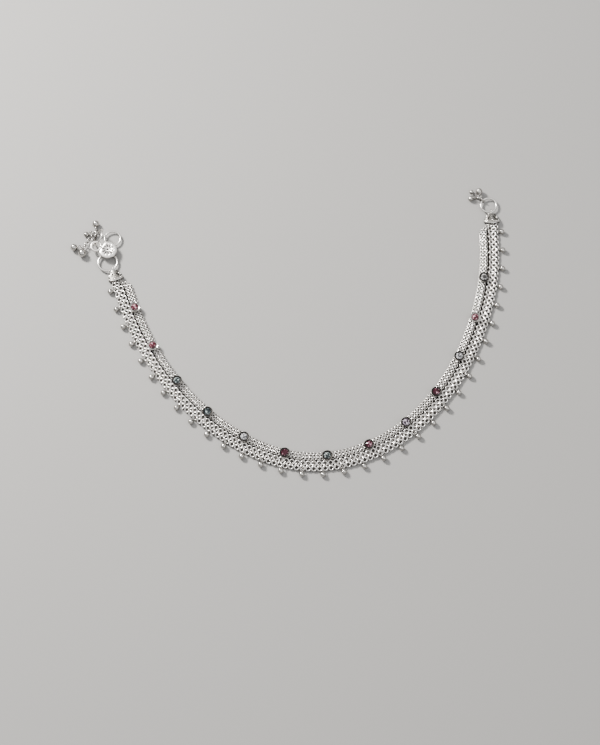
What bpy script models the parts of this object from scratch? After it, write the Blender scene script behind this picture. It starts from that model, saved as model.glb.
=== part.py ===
"""Silver payal anklet, opened and lying flat: a stone-set inner strip beside a wider net with a fringe of
balls, both gathered into an end cap at each end, with rings, a stamped clasp plate and small bells.

Metres, +Z up, face up. The origin is on the surface it lies on, in the middle of its bounding box.
The band runs from its left end round the bottom of the U to its right end."""

import math

import bmesh
import bpy
from mathutils import Matrix, Vector

MM = 0.001
PIECE_GAP = 0.3 * MM
LINK_GAP = 0.15 * MM
MERGE_DISTANCE = 0.001 * MM

# Ball fringe, whose pitch sets the length of the band
BALL_COUNT = 33
BALL_PITCH = 7.5 * MM
BALL_RADIUS = 1.0 * MM
BALL_LOOP_RADIUS = 0.85 * MM
BALL_LOOP_WIRE = 0.14 * MM

# Net, the wider outer strip
NET_WIDTH = 3.75 * MM
NET_THICKNESS = 0.8 * MM
RAIL_WIDTH = 0.45 * MM
NET_ROWS = 2
GAPS_PER_BALL = 2

# Inner strip and the seam between the two
SEAM_GAP = 0.35 * MM
STRIP_WIDTH = 3.1 * MM
STRIP_THICKNESS = 1.15 * MM
STRIP_STEP = 9.0 * MM

# Stones in their bezels, evenly spaced from near the first ball to near the last, and set a little towards
# the seam
STONE_COUNT = 13
STONE_START = 9.6 * MM
STONE_END = 20.0 * MM
STONE_SHIFT = 0.45 * MM
STONE_RADIUS = 1.35 * MM
STONE_TABLE = 0.8 * MM
STONE_CROWN = 0.4 * MM
STONE_PAVILION = 0.9 * MM
STONE_CLEARANCE = 0.25 * MM
STONE_SIDES = 10
BEZEL_WALL = 0.27 * MM
BEZEL_LIP = 0.25 * MM
BEZEL_FLOOR = 0.05 * MM
BEZEL_FLARE = 0.25 * MM

# The band's course: its heading in degrees at even steps from the first ball to the last
BAND_HEADINGS = (-72.0, -59.5, -43.0, -21.5, 12.0, 40.0, 60.5, 76.0, 92.0)
COURSE_STEP = 0.25 * MM

# How the strips gather into an end cap beyond the first and the last ball
STRIP_RUN = 5.4 * MM
TAPER_LENGTH = 3.4 * MM
TAPER_SHARE = 0.55
TAPER_LINES = (0.33, 0.67, 1.0)
TONGUE_LINES = (0.4, 1.0)

# End caps, which sit towards the band's outer side
CAP_START = 4.1 * MM
CAP_LENGTH = 3.4 * MM
CAP_SHIFT = 1.6 * MM
CAP_CLEARANCE = 0.4 * MM
CAP_WALL = 0.3 * MM
CAP_FOOT = 0.05 * MM
CAP_NOSE_WIDTH = 2.8 * MM
CAP_NOSE_DEPTH = 0.35 * MM
CAP_NOSE_DROP = 0.2 * MM
CAP_BULGE = 0.8 * MM
CAP_SQUARENESS = 0.4
CAP_SLOT_LENGTH = 1.1 * MM
CAP_SLOT_WIDTH = 0.42 * MM
CAP_SLOT_TURN = 32.0
CAP_SLOT_START = 0.4
CAP_SLOT_SPREAD = 0.18
CAP_LOOP_RADIUS = 0.85 * MM
CAP_LOOP_WIRE = 0.22 * MM

# Rings that lie flat, turned from straight out of the band's end
LINK_RING_RADIUS = 3.5 * MM
LINK_RING_WIRE = 0.36 * MM
LINK_RING_TURN = 18.0
SIZE_RING_RADIUS = 2.9 * MM
SIZE_RING_WIRE = 0.33 * MM
SIZE_RING_TURN = -34.0
RIGHT_RING_RADIUS = 2.9 * MM
RIGHT_RING_WIRE = 0.33 * MM
RIGHT_RING_TURN = 14.0

# Clasp plate: a disc with one flat side, its loop, and the two bails under it
PLATE_RADIUS = 3.37 * MM
PLATE_FLAT = 2.5 * MM
PLATE_FLAT_TURN = 45.0
PLATE_THICKNESS = 0.9 * MM
PLATE_SIDES = 20
PLATE_TURN = -18.0
PETAL_COUNT = 10
PETAL_INNER = 0.9 * MM
PETAL_LENGTH = 1.1 * MM
PETAL_WIDTH = 0.34 * MM
PETAL_DEPTH = 0.25 * MM
BAIL_RADIUS = 0.78 * MM
BAIL_WIRE = 0.22 * MM
LINK_BAIL_REACH = 1.05 * MM
SIZE_BAIL_REACH = 2.45 * MM
PLATE_LOOP_RADIUS = 1.8 * MM
PLATE_LOOP_WIRE = 0.45 * MM
PLATE_LOOP_REACH = 4.55 * MM
PLATE_LOOP_TURN = 54.0

# Bell ring, which leans in the plate's loop
BELL_RING_RADIUS = 3.1 * MM
BELL_RING_WIRE = 0.28 * MM
BELL_RING_LEAN = 60.0
BELL_RING_TURN = -30.0
BELL_RING_SEAT = 0.35 * MM

# Bells and their small links
LINK_WIRE = 0.2 * MM
LINK_PITCH = 2.0 * MM
LINK_OVERLAP = 0.6
HOOK_RADIUS = 0.85 * MM
LEFT_HOOK_TURN = 35.0
RIGHT_HOOK_TURN = 48.0

# Where each chain ends, from its hook and in hook radii, as (out, across)
LEFT_CHAIN = (-6.1, 7.3)
RIGHT_CHAIN = (0.75, 1.45)

# Bells in hook radii, as (out, across, bell radius), with the share of the chain at which each hangs
LEFT_BELLS = (
    (3.3, -0.7, 1.6, 0.0),
    (0.5, 2.4, 0.65, 0.17),
    (-0.1, 4.6, 1.2, 0.33),
    (-4.7, 11.4, 1.6, 1.0),
    (-8.6, 8.8, 1.85, 1.0),
)
RIGHT_BELLS = (
    (3.6, 0.4, 1.6, 0.0),
    (0.4, 4.2, 1.2, 1.0),
    (3.7, 3.6, 1.0, 1.0),
)

# Sides of round pieces
RING_SIDES = 14
LOOP_SIDES = 10
WIRE_SIDES = 5
BALL_SIDES = 10
BALL_RINGS = 4

# Finishes: colour, roughness, metallic
FINISHES = {
    "silver": ((0.80, 0.78, 0.75), 0.28, 1.0),
    "garnet": ((0.30, 0.02, 0.08), 0.08, 0.0),
    "smoky_green": ((0.10, 0.17, 0.17), 0.08, 0.0),
    "clear_stone": ((0.62, 0.60, 0.62), 0.08, 0.0),
}
STONE_COLOURS = (
    "garnet", "garnet", "smoky_green", "smoky_green", "clear_stone", "garnet", "smoky_green",
    "garnet", "smoky_green", "garnet", "clear_stone", "garnet", "clear_stone",
)

# Sizes that follow from those above
BAND_LENGTH = (BALL_COUNT - 1) * BALL_PITCH
NET_OUTER = BALL_RADIUS + PIECE_GAP
NET_INNER = NET_OUTER + NET_WIDTH
SEAM_MIDDLE = NET_INNER + SEAM_GAP / 2
STRIP_MIDDLE = NET_INNER + SEAM_GAP + STRIP_WIDTH / 2
STONE_MIDDLE = STRIP_MIDDLE - STONE_SHIFT
NET_HEIGHT = max(BALL_RADIUS, BALL_LOOP_RADIUS + BALL_LOOP_WIRE)
NET_TOP = NET_HEIGHT + NET_THICKNESS / 2
STONE_HEIGHT = STRIP_THICKNESS + BEZEL_FLOOR + STONE_CLEARANCE + STONE_PAVILION
RING_HEIGHT = max(CAP_LOOP_RADIUS + CAP_LOOP_WIRE, BAIL_RADIUS + BAIL_WIRE, HOOK_RADIUS + LINK_WIRE)
GATHERED_WIDTH = (NET_WIDTH + STRIP_WIDTH) * TAPER_SHARE + SEAM_GAP
CAP_MOUTH_WIDTH = GATHERED_WIDTH + 2 * (CAP_CLEARANCE + CAP_WALL)
CAP_HEIGHT = NET_TOP + CAP_CLEARANCE + CAP_WALL
PLATE_BOTTOM = RING_HEIGHT + BAIL_RADIUS


# Scene, collections and materials
def clear_scene():
    for obj in list(bpy.data.objects):
        bpy.data.objects.remove(obj)


def new_collection(name):
    collection = bpy.data.collections.new(name)
    bpy.context.scene.collection.children.link(collection)
    return collection


def material(name):
    found = bpy.data.materials.get(name)
    if found:
        return found
    colour, roughness, metallic = FINISHES[name]
    made = bpy.data.materials.new(name)
    made.use_nodes = True
    shader = made.node_tree.nodes["Principled BSDF"]
    shader.inputs["Base Color"].default_value = (*colour, 1.0)
    shader.inputs["Roughness"].default_value = roughness
    shader.inputs["Metallic"].default_value = metallic
    return made


clear_scene()
PARTS = new_collection("payal_anklet")
HELPERS = new_collection("helpers")


def add_part(name, mesh, finish, matrix=None):
    """A visible sub-part in its own colour."""
    obj = bpy.data.objects.new(name, mesh)
    PARTS.objects.link(obj)
    if not mesh.materials:
        mesh.materials.append(material(finish))
    if matrix is not None:
        obj.matrix_world = matrix
    return obj


def add_helper(name, mesh, matrix=None):
    """A shape that only serves a Boolean."""
    obj = bpy.data.objects.new(name, mesh)
    HELPERS.objects.link(obj)
    obj.hide_render = True
    obj.display_type = "WIRE"
    if matrix is not None:
        obj.matrix_world = matrix
    return obj


def mesh_of(bm, name, closed=True):
    if closed:
        bmesh.ops.recalc_face_normals(bm, faces=bm.faces)
    mesh = bpy.data.meshes.new(name)
    bm.to_mesh(mesh)
    bm.free()
    return mesh


def combined(name, base, joined=(), cut=()):
    """The base helper with some helpers joined to it and others cut from it, as one mesh."""
    for operation, tools in (("UNION", joined), ("DIFFERENCE", cut)):
        for tool in tools:
            step = base.modifiers.new(tool.name, "BOOLEAN")
            step.operation = operation
            step.object = tool
    bpy.context.view_layer.update()
    graph = bpy.context.evaluated_depsgraph_get()
    mesh = bpy.data.meshes.new_from_object(base.evaluated_get(graph))
    mesh.name = name
    return mesh


# The band's course
def heading_at(share):
    """Heading in radians at a share of the band's length, smoothly through the table."""
    last = len(BAND_HEADINGS) - 1
    place = min(max(share, 0.0), 1.0) * last
    start = min(int(place), last - 1)
    t = place - start
    before, here, there, after = (
        BAND_HEADINGS[min(max(start + step, 0), last)] for step in (-1, 0, 1, 2)
    )
    bend = 2 * before - 5 * here + 4 * there - after + t * (3 * (here - there) + after - before)
    return math.radians(here + 0.5 * t * (there - before + t * bend))


def walk_course():
    """Points along the line of balls and a little beyond both its ends, as (distance, point)."""
    steps = round((BAND_LENGTH + 2 * STRIP_RUN) / COURSE_STEP)
    distance, point = -STRIP_RUN, Vector((0, 0, 0))
    rows = [(distance, point)]
    for _ in range(steps):
        angle = heading_at((distance + COURSE_STEP / 2) / BAND_LENGTH)
        point = point + Vector((math.cos(angle), math.sin(angle), 0)) * COURSE_STEP
        distance += COURSE_STEP
        rows.append((distance, point))
    return rows


COURSE = walk_course()


def band_point(distance, inward, height=0.0):
    """The point that far along from the first ball, and that far in from the line of balls to the ankle."""
    place = (distance - COURSE[0][0]) / COURSE_STEP
    index = min(max(int(place), 0), len(COURSE) - 2)
    point = COURSE[index][1].lerp(COURSE[index + 1][1], place - index)
    angle = heading_at(distance / BAND_LENGTH)
    return point + Vector((-math.sin(angle), math.cos(angle), 0)) * inward + Vector((0, 0, height))


def band_frame(distance, inward, height=0.0):
    """A frame there with X along the band, Y in towards the ankle and Z up."""
    turn = Matrix.Rotation(heading_at(distance / BAND_LENGTH), 4, "Z")
    return Matrix.Translation(band_point(distance, inward, height)) @ turn


def gathered(distance, inward):
    """The inward offset once the strips narrow and draw towards an end cap. The seam keeps its gap."""
    out = max(-distance, distance - BAND_LENGTH)
    t = min(max(out / TAPER_LENGTH, 0.0), 1.0)
    ease = t * t * (3 - 2 * t)
    off_seam = inward - SEAM_MIDDLE
    side = math.copysign(SEAM_GAP / 2, off_seam)
    narrowed = side + (off_seam - side) * (1 - (1 - TAPER_SHARE) * ease)
    return SEAM_MIDDLE - CAP_SHIFT * ease + narrowed


def end_frame(right):
    """A frame on the cap's middle line beside the first or last ball: X out of the band, Z up."""
    across = SEAM_MIDDLE - CAP_SHIFT + (STRIP_WIDTH - NET_WIDTH) * TAPER_SHARE / 2
    if right:
        return band_frame(BAND_LENGTH, across)
    return band_frame(0.0, across) @ Matrix.Rotation(math.pi, 4, "Z")


# Shapes that several pieces share
def torus_mesh(name, radius, wire, sides=LOOP_SIDES):
    """A ring about Z, with the middle of a straight side on its X axis."""
    bpy.ops.mesh.primitive_torus_add(
        major_radius=radius, minor_radius=wire, major_segments=sides, minor_segments=WIRE_SIDES
    )
    made = bpy.context.object
    mesh = made.data
    mesh.name = name
    mesh.transform(Matrix.Rotation(math.pi / sides, 4, "Z"))
    bpy.data.objects.remove(made)
    return mesh


def ball_mesh(name, radius):
    bm = bmesh.new()
    bmesh.ops.create_uvsphere(bm, u_segments=BALL_SIDES, v_segments=BALL_RINGS, radius=radius)
    return mesh_of(bm, name)


def turned_mesh(name, profile, sides):
    """A closed solid turned about Z, with a profile that starts and ends on the axis."""
    bm = bmesh.new()
    points = [bm.verts.new((radius, 0, height)) for radius, height in profile]
    edges = [bm.edges.new(pair) for pair in zip(points, points[1:])]
    bmesh.ops.spin(
        bm, geom=points + edges, cent=(0, 0, 0), axis=(0, 0, 1), angle=math.tau, steps=sides,
        use_duplicate=False, use_merge=True,
    )
    bmesh.ops.remove_doubles(bm, verts=bm.verts, dist=MERGE_DISTANCE)
    return mesh_of(bm, name)


def spin_about(axis, degrees):
    return Matrix.Rotation(math.radians(degrees), 4, axis)


def out_point(start, turn, reach):
    """A point that far from the start, in a level direction turned from the frame's X axis."""
    angle = math.radians(turn)
    return start + Vector((math.cos(angle), math.sin(angle), 0)) * reach


def flat_ring(name, frame, centre, radius, wire):
    """A plain ring that lies flat at a place of an end frame."""
    add_part(name, torus_mesh(name, radius, wire, RING_SIDES), "silver", frame @ Matrix.Translation(centre))


def upright_loop(name, place, turn, radius, wire):
    """A helper torus that stands on edge, its plane along a heading in degrees."""
    matrix = Matrix.Translation(place) @ spin_about("Z", turn) @ spin_about("X", 90)
    return add_helper(name, torus_mesh(name, radius, wire), matrix)


# Net and inner strip
def net_lines():
    """Distances of the net's cross lines, with a whole gap centred on every ball."""
    cell = BALL_PITCH / GAPS_PER_BALL
    cells = (BALL_COUNT - 1) * GAPS_PER_BALL + 1
    lines = [cell * (index - 0.5) for index in range(cells + 1)]
    tongue = STRIP_RUN - cell / 2
    ends = [cell / 2 + tongue * share for share in TONGUE_LINES]
    return [-end for end in reversed(ends)] + lines + [BAND_LENGTH + end for end in ends], len(ends)


def make_net():
    lines, solid_columns = net_lines()
    half_rail = RAIL_WIDTH / 2
    bm = bmesh.new()
    bmesh.ops.create_grid(bm, x_segments=len(lines) - 1, y_segments=NET_ROWS, size=0.5)
    for vert in bm.verts:
        column = round((vert.co.x + 0.5) * (len(lines) - 1))
        across = vert.co.y + 0.5
        vert.co.x = lines[column]
        vert.co.y = NET_OUTER + half_rail + across * (NET_WIDTH - RAIL_WIDTH)
    first_gap, last_gap = lines[solid_columns], lines[-1 - solid_columns]
    gaps = [face for face in bm.faces if first_gap < face.calc_center_median().x < last_gap]
    bmesh.ops.inset_individual(bm, faces=gaps, thickness=half_rail, use_even_offset=True)
    bmesh.ops.delete(bm, geom=gaps, context="FACES")
    for vert in bm.verts:
        if vert.co.y < NET_OUTER + 1.1 * half_rail:
            vert.co.y = NET_OUTER
        elif vert.co.y > NET_INNER - 1.1 * half_rail:
            vert.co.y = NET_INNER
    for vert in bm.verts:
        vert.co = band_point(vert.co.x, gathered(vert.co.x, vert.co.y), NET_HEIGHT)
    net = add_part("outer_net", mesh_of(bm, "outer_net", closed=False), "silver")
    thickness = net.modifiers.new("thickness", "SOLIDIFY")
    thickness.thickness = NET_THICKNESS
    thickness.offset = 0.0


def bezel_profile():
    """Half section of a bezel cup, from the axis up its outer side and down to its seat.

    Its foot keeps within the strip, and the cup widens only above the net beside it."""
    bore = STONE_RADIUS + STONE_CLEARANCE
    outer = bore + BEZEL_WALL
    foot = STRIP_WIDTH / 2 - STONE_SHIFT - PIECE_GAP / 3
    foot_top = NET_TOP + PIECE_GAP / 2
    rim = STONE_HEIGHT + BEZEL_LIP
    inside = STRIP_THICKNESS / 2
    return (
        (0, inside), (foot, inside), (foot, foot_top), (outer, foot_top + BEZEL_FLARE), (outer, rim),
        (bore, rim), (bore, STONE_HEIGHT - STONE_CLEARANCE), (0, STRIP_THICKNESS + BEZEL_FLOOR),
    )


def stone_places():
    pitch = (BAND_LENGTH - STONE_START - STONE_END) / (STONE_COUNT - 1)
    return [STONE_START + index * pitch for index in range(STONE_COUNT)]


def strip_lines():
    """Distances of the inner strip's cross lines, closer together where it gathers."""
    steps = round(BAND_LENGTH / STRIP_STEP)
    ends = [TAPER_LENGTH * share for share in TAPER_LINES] + [STRIP_RUN]
    lines = [BAND_LENGTH * index / steps for index in range(steps + 1)]
    return [-end for end in reversed(ends)] + lines + [BAND_LENGTH + end for end in ends]


def make_strip():
    """The inner strip with its bezels soldered on."""
    lines = strip_lines()
    bm = bmesh.new()
    bmesh.ops.create_grid(bm, x_segments=len(lines) - 1, y_segments=1, size=0.5)
    for vert in bm.verts:
        distance = lines[round((vert.co.x + 0.5) * (len(lines) - 1))]
        inward = STRIP_MIDDLE + vert.co.y * STRIP_WIDTH
        vert.co = band_point(distance, gathered(distance, inward), STRIP_THICKNESS)
    base = add_helper("strip_base", mesh_of(bm, "strip_base", closed=False))
    thickness = base.modifiers.new("thickness", "SOLIDIFY")
    thickness.thickness = STRIP_THICKNESS
    thickness.offset = -1.0
    cup = turned_mesh("bezel", bezel_profile(), STONE_SIDES)
    cups = [
        add_helper(f"bezel_{index + 1:02d}", cup, band_frame(distance, STONE_MIDDLE))
        for index, distance in enumerate(stone_places())
    ]
    add_part("inner_strip", combined("inner_strip", base, joined=cups), "silver")


# Stones
def stone_profile():
    """Half section of a cut stone, from its culet over its girdle and crown to its table."""
    return (0, -STONE_PAVILION), (STONE_RADIUS, 0), (STONE_TABLE, STONE_CROWN), (0, STONE_CROWN)


def make_stones():
    for index, distance in enumerate(stone_places()):
        colour = STONE_COLOURS[index % len(STONE_COLOURS)]
        name = f"stone_{index + 1:02d}"
        frame = band_frame(distance, STONE_MIDDLE, STONE_HEIGHT)
        add_part(name, turned_mesh(name, stone_profile(), STONE_SIDES), colour, frame)


# Ball fringe
def make_balls():
    """Each ball with the loop by which it hangs on the net's outer rail."""
    ball = add_helper("ball_body", ball_mesh("ball_body", BALL_RADIUS))
    rail = Vector((0, NET_OUTER + RAIL_WIDTH / 2, 0))
    loop = upright_loop("ball_loop", rail, 90, BALL_LOOP_RADIUS, BALL_LOOP_WIRE)
    mesh = combined("ball", ball, joined=[loop])
    for index in range(BALL_COUNT):
        add_part(f"ball_{index + 1:02d}", mesh, "silver", band_frame(index * BALL_PITCH, 0, NET_HEIGHT))


# End caps
def cap_surface():
    """The cap's arched outer surface, wide and curved at its mouth and narrow at its nose."""
    bm = bmesh.new()
    bmesh.ops.create_grid(bm, x_segments=3, y_segments=8, size=0.5)
    for vert in bm.verts:
        along = vert.co.x + 0.5
        angle = math.pi * (vert.co.y + 0.5)
        width = CAP_MOUTH_WIDTH + (CAP_NOSE_WIDTH - CAP_MOUTH_WIDTH) * along ** 2
        height = CAP_HEIGHT - CAP_NOSE_DROP * along ** 2
        across = -math.cos(angle)
        reach = CAP_BULGE * (1 - across ** 2) * (1 - along)
        rise = 0.0 if abs(across) > 0.999 else math.sin(angle) ** CAP_SQUARENESS
        lift = CAP_FOOT + rise * (height - CAP_FOOT)
        vert.co = Vector((CAP_START + along * CAP_LENGTH - reach, across * width / 2, lift))
    return mesh_of(bm, "cap_surface", closed=False)


def cap_loop_centre():
    return Vector((CAP_START + CAP_LENGTH + CAP_LOOP_RADIUS - CAP_LOOP_WIRE / 2, 0, RING_HEIGHT))


def cap_slots():
    """Two slanted slots pierced through the cap's top."""
    cutters = []
    for side in (1, -1):
        bm = bmesh.new()
        bmesh.ops.create_cube(bm, size=1.0)
        bmesh.ops.scale(bm, verts=bm.verts, vec=(CAP_SLOT_LENGTH, CAP_SLOT_WIDTH, CAP_HEIGHT))
        along = CAP_START + CAP_SLOT_START * CAP_LENGTH
        place = Vector((along, side * CAP_SLOT_SPREAD * CAP_MOUTH_WIDTH, CAP_HEIGHT))
        matrix = Matrix.Translation(place) @ spin_about("Z", -side * CAP_SLOT_TURN)
        cutters.append(add_helper("cap_slot", mesh_of(bm, "cap_slot"), matrix))
    return cutters


def make_caps():
    """The shell is split into flat faces first, because its Booleans need them at every size."""
    shell = add_helper("cap_shell", cap_surface())
    thickness = shell.modifiers.new("thickness", "SOLIDIFY")
    thickness.thickness = CAP_WALL
    thickness.offset = -1.0
    shell.modifiers.new("flat_faces", "TRIANGULATE")
    nose_radius = CAP_HEIGHT - CAP_NOSE_DROP - RING_HEIGHT
    nose_place = Matrix.Translation((CAP_START + CAP_LENGTH - CAP_WALL, 0, RING_HEIGHT))
    nose_shape = Matrix.Diagonal((CAP_NOSE_DEPTH / nose_radius, CAP_NOSE_WIDTH / (2 * nose_radius), 1, 1))
    nose = add_helper("cap_nose", ball_mesh("cap_nose", nose_radius), nose_place @ nose_shape)
    loop = upright_loop("cap_loop", cap_loop_centre(), 0, CAP_LOOP_RADIUS, CAP_LOOP_WIRE)
    mesh = combined("end_cap", shell, joined=[nose, loop], cut=cap_slots())
    add_part("end_cap_left", mesh, "silver", end_frame(False))
    add_part("end_cap_right", mesh, "silver", end_frame(True))


# Clasp plate
def plate_body():
    """A disc that is flat on the side that faces its loop."""
    bm = bmesh.new()
    bmesh.ops.create_circle(bm, cap_ends=True, segments=PLATE_SIDES, radius=PLATE_RADIUS)
    for vert in bm.verts:
        vert.co.x = min(vert.co.x, PLATE_FLAT)
    walls = bmesh.ops.extrude_face_region(bm, geom=bm.faces[:])["geom"]
    lifted = [item for item in walls if isinstance(item, bmesh.types.BMVert)]
    bmesh.ops.translate(bm, verts=lifted, vec=(0, 0, PLATE_THICKNESS))
    return mesh_of(bm, "plate_body")


def plate_petals(centre):
    """The short radial cuts of the stamped sunburst."""
    cutters = []
    for index in range(PETAL_COUNT):
        turn = index * 360 / PETAL_COUNT
        bm = bmesh.new()
        bmesh.ops.create_cube(bm, size=1.0)
        bmesh.ops.scale(bm, verts=bm.verts, vec=(PETAL_LENGTH, PETAL_WIDTH, 2 * PETAL_DEPTH))
        place = out_point(centre, turn, PETAL_INNER + PETAL_LENGTH / 2)
        place.z = PLATE_BOTTOM + PLATE_THICKNESS
        matrix = Matrix.Translation(place) @ spin_about("Z", turn)
        cutters.append(add_helper("petal", mesh_of(bm, "petal"), matrix))
    return cutters


def clasp_places():
    """Centres of the link ring, plate, spare ring, plate loop and bell ring in the left end frame."""
    link_ring = out_point(cap_loop_centre(), LINK_RING_TURN, LINK_RING_RADIUS)
    plate = out_point(link_ring, PLATE_TURN, LINK_RING_RADIUS + LINK_BAIL_REACH)
    size_ring = out_point(plate, SIZE_RING_TURN, SIZE_BAIL_REACH + SIZE_RING_RADIUS)
    loop = out_point(plate, PLATE_LOOP_TURN, PLATE_LOOP_REACH)
    bell_ring = out_point(loop, BELL_RING_TURN, BELL_RING_SEAT + BELL_RING_RADIUS)
    bell_ring.z = BELL_RING_RADIUS * math.sin(math.radians(BELL_RING_LEAN)) + BELL_RING_WIRE
    return link_ring, plate, size_ring, loop, bell_ring


def bell_ring_turn():
    return spin_about("Z", BELL_RING_TURN) @ spin_about("X", -BELL_RING_LEAN)


def make_clasp(frame):
    link_ring, plate, size_ring, loop, bell_ring = clasp_places()
    flat_ring("link_ring_left", frame, link_ring, LINK_RING_RADIUS, LINK_RING_WIRE)
    flat_ring("size_ring", frame, size_ring, SIZE_RING_RADIUS, SIZE_RING_WIRE)
    place = Matrix.Translation((plate.x, plate.y, PLATE_BOTTOM)) @ spin_about("Z", PLATE_FLAT_TURN)
    body = add_helper("plate_helper", plate_body(), place)
    link_bail = out_point(plate, PLATE_TURN + 180, LINK_BAIL_REACH)
    size_bail = out_point(plate, SIZE_RING_TURN, SIZE_BAIL_REACH)
    loop_place = Matrix.Translation((loop.x, loop.y, PLATE_BOTTOM + PLATE_THICKNESS / 2))
    joined = [
        upright_loop("link_bail", link_bail, PLATE_TURN, BAIL_RADIUS, BAIL_WIRE),
        upright_loop("size_bail", size_bail, SIZE_RING_TURN, BAIL_RADIUS, BAIL_WIRE),
        add_helper("plate_loop", torus_mesh("plate_loop", PLATE_LOOP_RADIUS, PLATE_LOOP_WIRE), loop_place),
    ]
    mesh = combined("clasp_plate", body, joined=joined, cut=plate_petals(plate))
    mesh.transform(place)
    add_part("clasp_plate", mesh, "silver", frame)
    ring_frame = frame @ Matrix.Translation(bell_ring) @ bell_ring_turn()
    ring_mesh = torus_mesh("bell_ring", BELL_RING_RADIUS, BELL_RING_WIRE, RING_SIDES)
    add_part("bell_ring", ring_mesh, "silver", ring_frame)


# Bells and their links
def link_row(name, start, end, first_flat=True):
    """Small links in line between two points, each at right angles to the last and soldered to it."""
    run = end - start
    count = max(1, round(run.length / LINK_PITCH))
    radius = (run.length / count / 2 + LINK_OVERLAP * LINK_WIRE) / math.cos(math.pi / LOOP_SIDES)
    along = run.normalized()
    across = Vector((0, 0, 1)).cross(along).normalized()
    lift = along.cross(across)
    links = []
    for index in range(count):
        flat = (index % 2 == 0) == first_flat
        side, normal = (across, lift) if flat else (lift, -across)
        turn = Matrix((along, side, normal)).transposed().to_4x4()
        place = Matrix.Translation(start + run * ((index + 0.5) / count)) @ turn
        links.append(add_helper(name, torus_mesh(name, radius, LINK_WIRE), place))
    return links


def make_bells(name, frame, hook, outwards, chain, bells):
    """A hook link round a ring's wire, a short chain from it, and bells on the chain, in one piece."""
    hub = hook.translation + outwards * HOOK_RADIUS * math.cos(math.pi / LOOP_SIDES)
    end = hub + Vector((*chain, 0)) * HOOK_RADIUS
    base = add_helper(f"{name}_hook", torus_mesh(name, HOOK_RADIUS, LINK_WIRE), hook)
    pieces = link_row(f"{name}_chain", hub, end, first_flat=False)
    joints = len(pieces)
    for out, across, size, share in bells:
        radius = size * HOOK_RADIUS
        place = hub + Vector((out, across, 0)) * HOOK_RADIUS
        place.z = radius
        start = hub.lerp(end, round(share * joints) / joints)
        reach = (place - start).normalized()
        pieces += link_row(f"{name}_link", start, place - reach * (radius - LINK_WIRE))
        bell = ball_mesh(f"{name}_bell", radius)
        pieces.append(add_helper(bell.name, bell, Matrix.Translation(place)))
    mesh = combined(name, base, joined=pieces)
    mesh.transform(hook)
    add_part(name, mesh, "silver", frame)


def hook_frame(wire, along, outwards, ring_wire):
    """A frame whose Z axis runs along a ring's wire, with the hook link just clear of that wire."""
    offset = HOOK_RADIUS - LINK_WIRE - ring_wire - LINK_GAP
    turn = Matrix((outwards, along.cross(outwards), along)).transposed().to_4x4()
    return Matrix.Translation(wire + outwards * offset) @ turn


def make_left_bells(frame):
    """The left bells hang on the bell ring, on the low side of its far end."""
    turn = bell_ring_turn().to_3x3()
    angle = math.radians(LEFT_HOOK_TURN)
    wire = clasp_places()[-1] + turn @ Vector((math.cos(angle), math.sin(angle), 0)) * BELL_RING_RADIUS
    along = turn @ Vector((-math.sin(angle), math.cos(angle), 0))
    outwards = along.cross(Vector((0, 0, 1))).normalized()
    hook = hook_frame(wire, along, outwards, BELL_RING_WIRE)
    make_bells("bells_left", frame, hook, outwards, LEFT_CHAIN, LEFT_BELLS)


def make_right_end(frame):
    ring = out_point(cap_loop_centre(), RIGHT_RING_TURN, RIGHT_RING_RADIUS)
    flat_ring("link_ring_right", frame, ring, RIGHT_RING_RADIUS, RIGHT_RING_WIRE)
    outwards = out_point(Vector((0, 0, 0)), RIGHT_HOOK_TURN, 1.0)
    along = Vector((0, 0, 1)).cross(outwards)
    hook = hook_frame(ring + outwards * RIGHT_RING_RADIUS, along, outwards, RIGHT_RING_WIRE)
    make_bells("bells_right", frame, hook, outwards, RIGHT_CHAIN, RIGHT_BELLS)


# Place on the origin
def centre_on_origin():
    """Moves every sub-part so that the origin is under the middle of them all."""
    graph = bpy.context.evaluated_depsgraph_get()
    points = []
    for obj in PARTS.objects:
        shape = obj.evaluated_get(graph)
        points += [shape.matrix_world @ vert.co for vert in shape.data.vertices]
    low = Vector([min(point[axis] for point in points) for axis in range(3)])
    high = Vector([max(point[axis] for point in points) for axis in range(3)])
    middle = (low + high) / 2
    for obj in PARTS.objects:
        obj.location -= Vector((middle.x, middle.y, low.z))


make_net()
make_strip()
make_stones()
make_balls()
make_caps()
make_clasp(end_frame(False))
make_left_bells(end_frame(False))
make_right_end(end_frame(True))
centre_on_origin()
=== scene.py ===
"""Looks of the opened payal anklet: strips of linked rings, set stones, a fringe of balls, end caps, rings,
a stamped clasp plate and bells."""

import math
import random

import bmesh
import bpy
from mathutils import Matrix, Vector


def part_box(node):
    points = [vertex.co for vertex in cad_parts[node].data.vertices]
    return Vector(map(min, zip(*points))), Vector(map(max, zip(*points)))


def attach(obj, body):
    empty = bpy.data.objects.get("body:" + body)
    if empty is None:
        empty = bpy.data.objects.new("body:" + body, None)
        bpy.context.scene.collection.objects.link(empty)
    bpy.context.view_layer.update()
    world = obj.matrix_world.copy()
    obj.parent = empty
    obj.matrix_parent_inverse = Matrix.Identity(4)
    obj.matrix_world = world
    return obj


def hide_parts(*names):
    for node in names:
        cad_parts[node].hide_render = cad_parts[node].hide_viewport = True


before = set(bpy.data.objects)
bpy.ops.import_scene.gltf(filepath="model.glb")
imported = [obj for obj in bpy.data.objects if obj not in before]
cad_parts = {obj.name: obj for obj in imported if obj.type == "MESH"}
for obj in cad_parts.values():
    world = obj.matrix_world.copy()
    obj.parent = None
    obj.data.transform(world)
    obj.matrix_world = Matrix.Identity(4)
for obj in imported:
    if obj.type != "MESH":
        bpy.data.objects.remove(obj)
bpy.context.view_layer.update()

MM = 0.001
WELD_DISTANCE = 0.0005 * MM

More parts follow.
